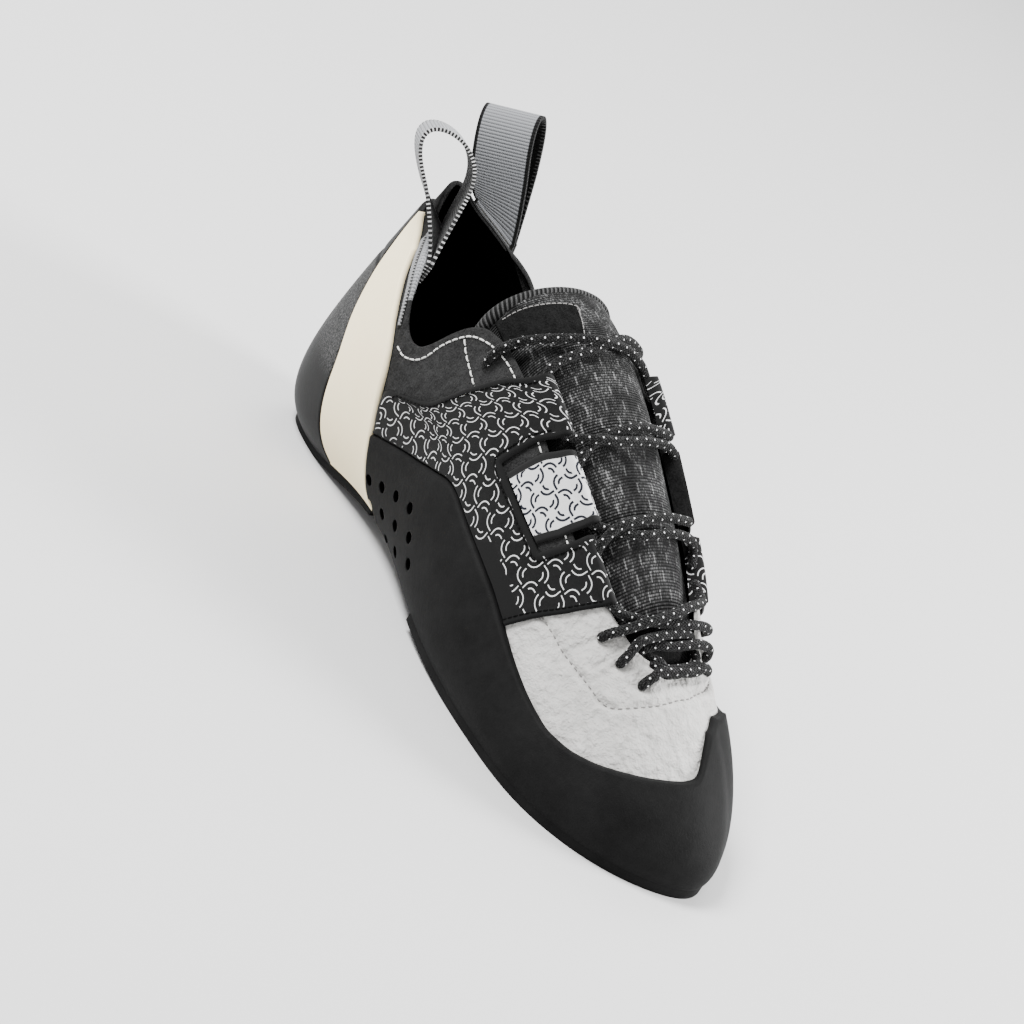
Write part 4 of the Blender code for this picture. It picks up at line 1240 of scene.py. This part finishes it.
def tongue_top(s, t):
    """The lift of the tongue's face, padded in the middle and flat at its sides."""
    middle = np.clip(1 - (np.abs(t - TONGUE_MIDDLE) / TONGUE_HALF) ** 2.5, 0, 1)
    folds = 0.15 * MM * np.sin(s * 6.0) * middle
    return TONGUE_FACE - 1.6 * MM + 1.8 * MM * smooth(middle) + folds


def tongue_lift(thing, a, b, s, t, flat):
    return tongue_top(s, t)


def tongue_uv(laid, a, b, s, t):
    across = rise_of(np.full_like(s, 5.5), t, 1.0) * np.sign(t - 1.0)
    return np.stack((across, form(s, 1.5)[:, 0]), -1)


def knit_painted_recess_shade(thing, a, b, s, t, flat):
    """Painted shade for the knit: 1 on the padded middle, 0 in the recesses at its sides and under the toe
    laces, where shade falls.
    """
    return smooth((t - 1.06) / 0.07) * smooth((1.84 - t) / 0.10) * smooth((7.85 - s) / 0.25)


# The tongue carries the knit's painted shade as a point attribute.
tongue = panel("tongue", (90, 60), tongue_place, tongue_lift, inward=TONGUE_THICKNESS, uv=tongue_uv,
               values={"painted_recess_shade": knit_painted_recess_shade})
finish_piece(tongue, KNIT, "tongue", ("tongue",))

BINDING_RADIUS = 2.5 * MM
BINDING_LIFT = TONGUE_FACE - 2.0 * MM


def bind_tongue():
    """The rolled edge at the tongue's rear end."""
    t = np.linspace(0.93, 2.07, 160)
    s = np.full_like(t, TONGUE_REAR)
    middle = lay(s, t, BINDING_LIFT)
    back = unit(middle - lay(s + 0.1, t, BINDING_LIFT))
    binding = tube("tongue_binding", middle + back * 0.3 * MM, BINDING_RADIUS, around=18)
    finish_piece(binding, BOUND, "tongue_binding", ("tongue_binding",))


bind_tongue()

# The patch's corners, from the outer rear one round to the outer front one
PATCH = np.array(((3.80, 1.05), (3.98, 1.48), (4.60, 1.44), (4.24, 1.01)))


def patch_place(a, b):
    a, b = a[:, None], b[:, None]
    spots = (1 - a) * ((1 - b) * PATCH[0] + b * PATCH[1]) + a * ((1 - b) * PATCH[3] + b * PATCH[2])
    return spots[:, 0], spots[:, 1]


def patch_lift(thing, a, b, s, t, flat):
    distance = border_distance(thing, flat, np.ones(len(a), bool))
    return tongue_top(s, t) - 0.2 * MM + 0.9 * MM * round_edge(distance, 0.9 * MM)


patch = panel("tongue_patch", (36, 70), patch_place, patch_lift)
finish_piece(patch, DARK_SUEDE, "tongue_patch", ("tongue_patch",))


PATCH_STITCHES = ((3.86, 1.10), (3.93, 1.28), (4.03, 1.46), (4.20, 1.46), (4.50, 1.43))
stitches("patch_stitches", PATCH_STITCHES, lambda s, t: tongue_top(s, t) + 0.72 * MM, PALE_THREAD,
         pitch=2.0 * MM, share=0.6, width=0.4 * MM, slot="tongue_patch")


# Laces

LACE_STEP = 0.7 * MM


def lace(name, node, places, replaced):
    """A cord through places on the last, each a station, a height and a lift in millimetres."""
    spots = np.array(places)
    path = through(lay(spots[:, 0], spots[:, 1], spots[:, 2] * MM), 200)
    run = np.linalg.norm(np.diff(path, axis=0), axis=1).sum()
    count = max(24, int(run / LACE_STEP))
    cord = tube(name, even(path, count), round_ends(count, LACE / 2, 2.5), around=16)
    finish_piece(cord, CORD, node, replaced)


# Each run of the lace: its name, its piece, and its places. The first run of a piece stands for it
LACE_RUNS = (
    ("lace_eyelet_to_finger", "lace_crossing_1",
     ((4.20, 0.925, -1.5), (4.205, 0.94, 0.6), (4.24, 0.98, 2.0), (4.31, 1.06, 2.2), (4.43, 1.18, 1.8),
      (4.57, 1.32, 2.0), (4.68, 1.45, 3.2), (4.73, 1.60, 1.8), (4.79, 1.74, 0.3), (4.90, 1.83, -0.5),
      (5.15, 1.86, -0.6))),
    ("lace_finger_to_eyelet", "lace_crossing_1",
     ((5.10, 1.14, -0.6), (4.90, 1.155, 0.9), (4.80, 1.22, 1.4), (4.77, 1.32, 1.1), (4.71, 1.46, 0.8),
      (4.56, 1.64, 1.0), (4.45, 1.84, 0.5), (4.30, 1.97, 2.0), (4.22, 2.03, 1.2), (4.20, 2.06, -1.5))),
    ("lace_upper_cross_1", "lace_crossing_2",
     ((5.25, 1.14, -0.6), (5.48, 1.15, 0.9), (5.60, 1.21, 1.8), (5.68, 1.30, 2.6), (5.73, 1.42, 1.8),
      (5.72, 1.58, 1.0), (5.68, 1.78, 1.3), (5.77, 1.86, 1.0), (6.05, 1.875, -0.6))),
    ("lace_upper_cross_2", "lace_crossing_2",
     ((6.10, 1.10, -1.4), (5.90, 1.125, 0.2), (5.77, 1.19, 0.8), (5.67, 1.28, 0.2), (5.61, 1.42, 0.6),
      (5.58, 1.58, 0.9), (5.55, 1.78, 1.3), (5.49, 1.85, 1.0), (5.25, 1.86, -0.6))),
    ("lace_lower_cross_1", "lace_crossing_3",
     ((6.00, 1.09, -1.4), (6.30, 1.11, 0.2), (6.46, 1.17, 0.9), (6.57, 1.26, 0.2), (6.67, 1.40, 0.6),
      (6.65, 1.60, 1.0), (6.62, 1.79, 1.4), (6.66, 1.87, 1.0), (6.9, 1.885, -0.6))),
    ("lace_lower_cross_2", "lace_crossing_3",
     ((6.90, 1.085, -0.6), (6.70, 1.09, 0.9), (6.60, 1.16, 2.2), (6.53, 1.26, 2.5), (6.51, 1.42, 1.6),
      (6.48, 1.60, 1.2), (6.42, 1.79, 1.5), (6.34, 1.86, 1.0), (6.1, 1.87, -0.6))),
    ("lace_finger_to_first_eyelet", "lace_crossing_4",
     ((7.00, 1.90, -0.6), (7.24, 1.90, 1.3), (7.40, 1.86, 2.2), (7.58, 1.70, 3.0), (7.72, 1.53, 3.4),
      (7.79, 1.36, 3.2), (7.78, 1.20, 2.9), (7.74, 1.07, 2.5), (7.67, 0.97, 2.2), (7.62, 0.925, 0.7),
      (7.60, 0.91, -1.6))),
    ("lace_first_eyelet_inner", "lace_crossing_4",
     ((6.95, 1.085, -0.6), (7.25, 1.065, 1.1), (7.48, 1.09, 1.2), (7.66, 1.19, 0.5), (7.84, 1.34, 0.4),
      (7.92, 1.52, 0.9), (7.87, 1.74, 1.9), (7.72, 1.93, 2.3), (7.60, 2.04, 2.0), (7.52, 2.085, 0.6),
      (7.50, 2.10, -1.6))),
    ("lace_second_eyelet_outer", "lace_bar_1",
     ((8.17, 0.895, -1.6), (8.18, 0.91, 0.7), (8.17, 0.965, 2.2), (8.07, 1.10, 2.6), (8.10, 1.22, 2.2),
      (8.13, 1.42, 1.2), (8.08, 1.66, 0.4), (7.98, 1.84, -1.0), (7.92, 1.95, -2.6))),
    ("lace_second_eyelet_inner", "lace_bar_2",
     ((8.06, 2.115, -1.6), (8.05, 2.10, 0.7), (8.04, 2.03, 2.2), (8.17, 1.88, 2.2), (8.37, 1.69, 1.5),
      (8.45, 1.47, 0.8), (8.36, 1.31, 0.2), (8.30, 1.18, -1.0), (8.30, 1.05, -2.6))),
    ("lace_third_eyelet_bar", "lace_bar_3",
     ((8.96, 0.865, -1.6), (8.975, 0.88, 0.7), (9.12, 0.93, 2.2), (9.36, 1.0, 2.4), (12.4, 1.05, 2.4),
      (13.1, 0.99, 2.3), (13.42, 0.90, 0.7), (13.45, 0.885, -1.6))),
    ("lace_under_bar_outer", "lace_bar_3",
     ((8.62, 1.08, -2.8), (8.80, 1.10, -1.4), (9.15, 1.13, 0.2), (9.8, 1.15, 1.0), (12.9, 1.06, 0.8),
      (13.4, 1.03, -0.6), (13.6, 1.03, -2.8))),
    ("lace_under_bar_inner", "lace_bar_3",
     ((8.40, 1.14, -2.8), (8.60, 1.17, -1.2), (9.0, 1.23, 0.2), (9.5, 1.26, 0.8), (13.1, 1.08, 0.4),
      (13.7, 1.03, -1.0), (13.9, 1.03, -2.8))),
)

laced = set()
for name, node, places in LACE_RUNS:
    lace(name, node, places, () if node in laced else (node,))
    laced.add(node)


# Pull loops

LOOP_OPENING, LOOP_SEAT = 19 * MM, 6 * MM
# Each loop's side and tape, the station of its middle, its length over the rim, how far it is turned
# in its own plane, how far its top leans out, the lift of its outer leg, and how far it stands open
LOOPS = (
    ("lateral", DOTTED_TAPE, 1.50, 34 * MM, math.radians(15), 13.8 * MM, -WALL - 1.0 * MM - WEB / 2, 1.0),
    ("medial", TAPE, STATIONS - 1.21, 38 * MM, math.radians(20), 3 * MM, 2.9 * MM + 1.5 * WEB, 0.55),
)


def pull_loop(side, tape, middle, length, tilt, lean, outer_leg, openness):
    """A tape that rises from one seat on the collar, turns over and comes down to the other."""
    rim = lay(middle, collar_edge(middle), 0.0)
    chord = form(middle + 0.2, 0.9) - form(middle - 0.2, 0.9)
    station_length = np.linalg.norm(chord) / 0.4
    tangent = unit(np.array((chord[0], chord[1], 0)))
    out = np.array((tangent[1], -tangent[0], 0))
    back = 1 if tangent[0] < 0 else -1

    thing, a, b = grid(f"pull_loop_{side}", 22, 150)
    across = (a - 0.5) * WEB_WIDTH
    turn = -1 + (math.tau + 2) * b
    s = middle + across / station_length
    depth = np.maximum(np.maximum(-turn, turn - math.tau), 0)
    gap = outer_leg - (WEB + 0.3 * MM) * np.clip(turn / math.tau, 0, 1)
    seat = lay(s, collar_edge(s) - depth * LOOP_SEAT / HEIGHT, gap)

    turn = np.clip(turn, 0, math.tau)
    height = length * (1 - np.cos(turn)) / 2
    gap = gap + 0.77 * LOOP_OPENING * openness * np.sin(turn) * np.sin(turn / 2) ** 2
    shift = across * back
    free = (rim + out * (gap + lean * height / length)[:, None]
            + tangent * (back * (shift * math.cos(tilt) + height * math.sin(tilt)))[:, None])
    free[:, 2] += height * math.cos(tilt) - shift * math.sin(tilt)
    blend = smooth((height / length - 0.08) / 0.4)[:, None]
    places = seat * (1 - blend) + free * blend
    set_vertices(thing, places)

    middle_line = np.abs(a - 0.5) < 0.01
    run = run_along(places[middle_line][np.argsort(b[middle_line])])
    set_uv(thing, np.stack((across, np.interp(b, np.linspace(0, 1, len(run)), run)), -1))
    dress(thing, tape, TAPE_BACK)
    crest = max(thing.data.polygons, key=lambda face: face.center.z)
    if crest.normal.z < 0:
        edit(thing, bpy.ops.mesh.flip_normals)
    modify(thing, "SOLIDIFY", thickness=WEB, offset=0, material_offset=1, material_offset_rim=0)
    modify(thing, "BEVEL", width=0.3 * MM, segments=2, limit_method="ANGLE", angle_limit=math.radians(50))
    finish_piece(thing, slot=f"pull_loop_{side}", replaced=(f"pull_loop_{side}",))


def band_strip():
    """The narrowing tape that runs down beside the outer band."""
    line = through(((1.52, 0.925), (1.78, 0.905), (2.20, 0.868), (2.44, 0.825), (2.62, 0.775)), 90)
    s, t = line[:, 0], line[:, 1]
    spine = lay(s, t, 0.5 * MM)
    side = unit(np.cross(normal(s, t), np.gradient(spine, axis=0)))
    strip, a, b = grid("loop_strip_over_band", 8, 89)
    k = np.rint(b * 89).astype(int)
    width = 4.0 * MM + (1.6 * MM - 4.0 * MM) * b
    crown = 0.4 * MM * round_edge(np.minimum(a, 1 - a), 0.25)
    set_vertices(strip, spine[k] + side[k] * ((a - 0.5) * width)[:, None]
                 + normal(s, t)[k] * crown[:, None])
    set_uv(strip, np.stack(((a - 0.5) * RIM_TAPE_WIDTH, run_along(spine)[k]), -1))
    face_out(strip, s[k], t[k])
    finish_piece(strip, RIM_TAPE, "pull_loop_lateral")


def rim_strip():
    """The tape that is laid over the collar's rim, from the outer loop forwards."""
    strip, a, b = grid("loop_strip_over_rim", 24, 90)
    first = 1.42
    s = first + b
    outside = (2.6 - 2.2 * b) * MM / HEIGHT
    inside = 3.0 * MM / HEIGHT
    t = collar_edge(s) - outside * np.clip((0.3 - a) / 0.3, 0, 1) - inside * np.clip((a - 0.7) / 0.3, 0, 1)
    up = unit(form(s, t + 0.004) - form(s, t - 0.004))
    angle = np.clip((a - 0.3) / 0.4, 0, 1) * math.pi
    half = COLLAR_WALL / 2
    radius = half + 0.3 * MM * smooth((1 - b) * 6)
    set_vertices(strip, lay(s, t, radius * np.cos(angle) - half) + up * (radius * np.sin(angle))[:, None])
    set_uv(strip, np.stack(((a - 0.5) * RIM_TAPE_WIDTH, 0.03 * (s - first)), -1))
    face_out(strip, s, t)
    finish_piece(strip, RIM_TAPE, "pull_loop_lateral")


for row in LOOPS:
    pull_loop(*row)
band_strip()
rim_strip()


# Stage

bpy.ops.object.select_all(action="DESELECT")
bpy.ops.mesh.primitive_plane_add(size=12)
floor = start_object("floor")
floor.data.materials.append(solid("floor_paint", grey(0.57), 0.9))

world = bpy.data.worlds.new("studio")
bpy.context.scene.world = world
world.use_nodes = True
world.node_tree.nodes["Background"].inputs[0].default_value = (1, 1, 1, 1)
world.node_tree.nodes["Background"].inputs[1].default_value = 1.1


def softbox(name, place, size, power, aim=(0.09, 0, 0.04)):
    light = bpy.data.lights.new(name, "AREA")
    light.size = size
    light.energy = power
    lamp = bpy.data.objects.new(name, light)
    bpy.context.scene.collection.objects.link(lamp)
    lamp.location = place
    lamp.rotation_euler = (Vector(place) - Vector(aim)).to_track_quat("Z", "Y").to_euler()


softbox("key_light", (-0.30, -0.60, 1.20), 0.45, 47)
softbox("rear_light", (-0.6, 0.9, 1.0), 0.7, 14)
softbox("side_light", (0.8, 0.8, 0.50), 0.4, 34)

# The camera looks from the outer front corner and is rolled, as in the photograph
AZIMUTH, ELEVATION, ROLL = (math.radians(v) for v in (48.5, 25.5, 31.0))
DISTANCE, AIM = 0.905, Vector((0.097, 0.0, 0.045))
LOOK_LEFT, LOOK_UP = 0.01195, 0.00457
to_camera = Vector((math.cos(ELEVATION) * math.cos(AZIMUTH), -math.cos(ELEVATION) * math.sin(AZIMUTH),
                    math.sin(ELEVATION)))
level = (-to_camera).cross(Vector((0, 0, 1))).normalized()
upright = level.cross(-to_camera)
right = math.cos(ROLL) * level + math.sin(ROLL) * upright
up = -math.sin(ROLL) * level + math.cos(ROLL) * upright
back = (to_camera + LOOK_LEFT * right - LOOK_UP * up).normalized()
right = (right - right.dot(back) * back).normalized()
up = back.cross(right)
lens = bpy.data.cameras.new("camera")
lens.lens = 100
lens.sensor_width = 36
camera = bpy.data.objects.new("camera", lens)
bpy.context.scene.collection.objects.link(camera)
turn = Matrix((right, up, back)).transposed().to_4x4()
turn.translation = AIM + DISTANCE * to_camera
camera.matrix_world = turn
bpy.context.scene.camera = camera
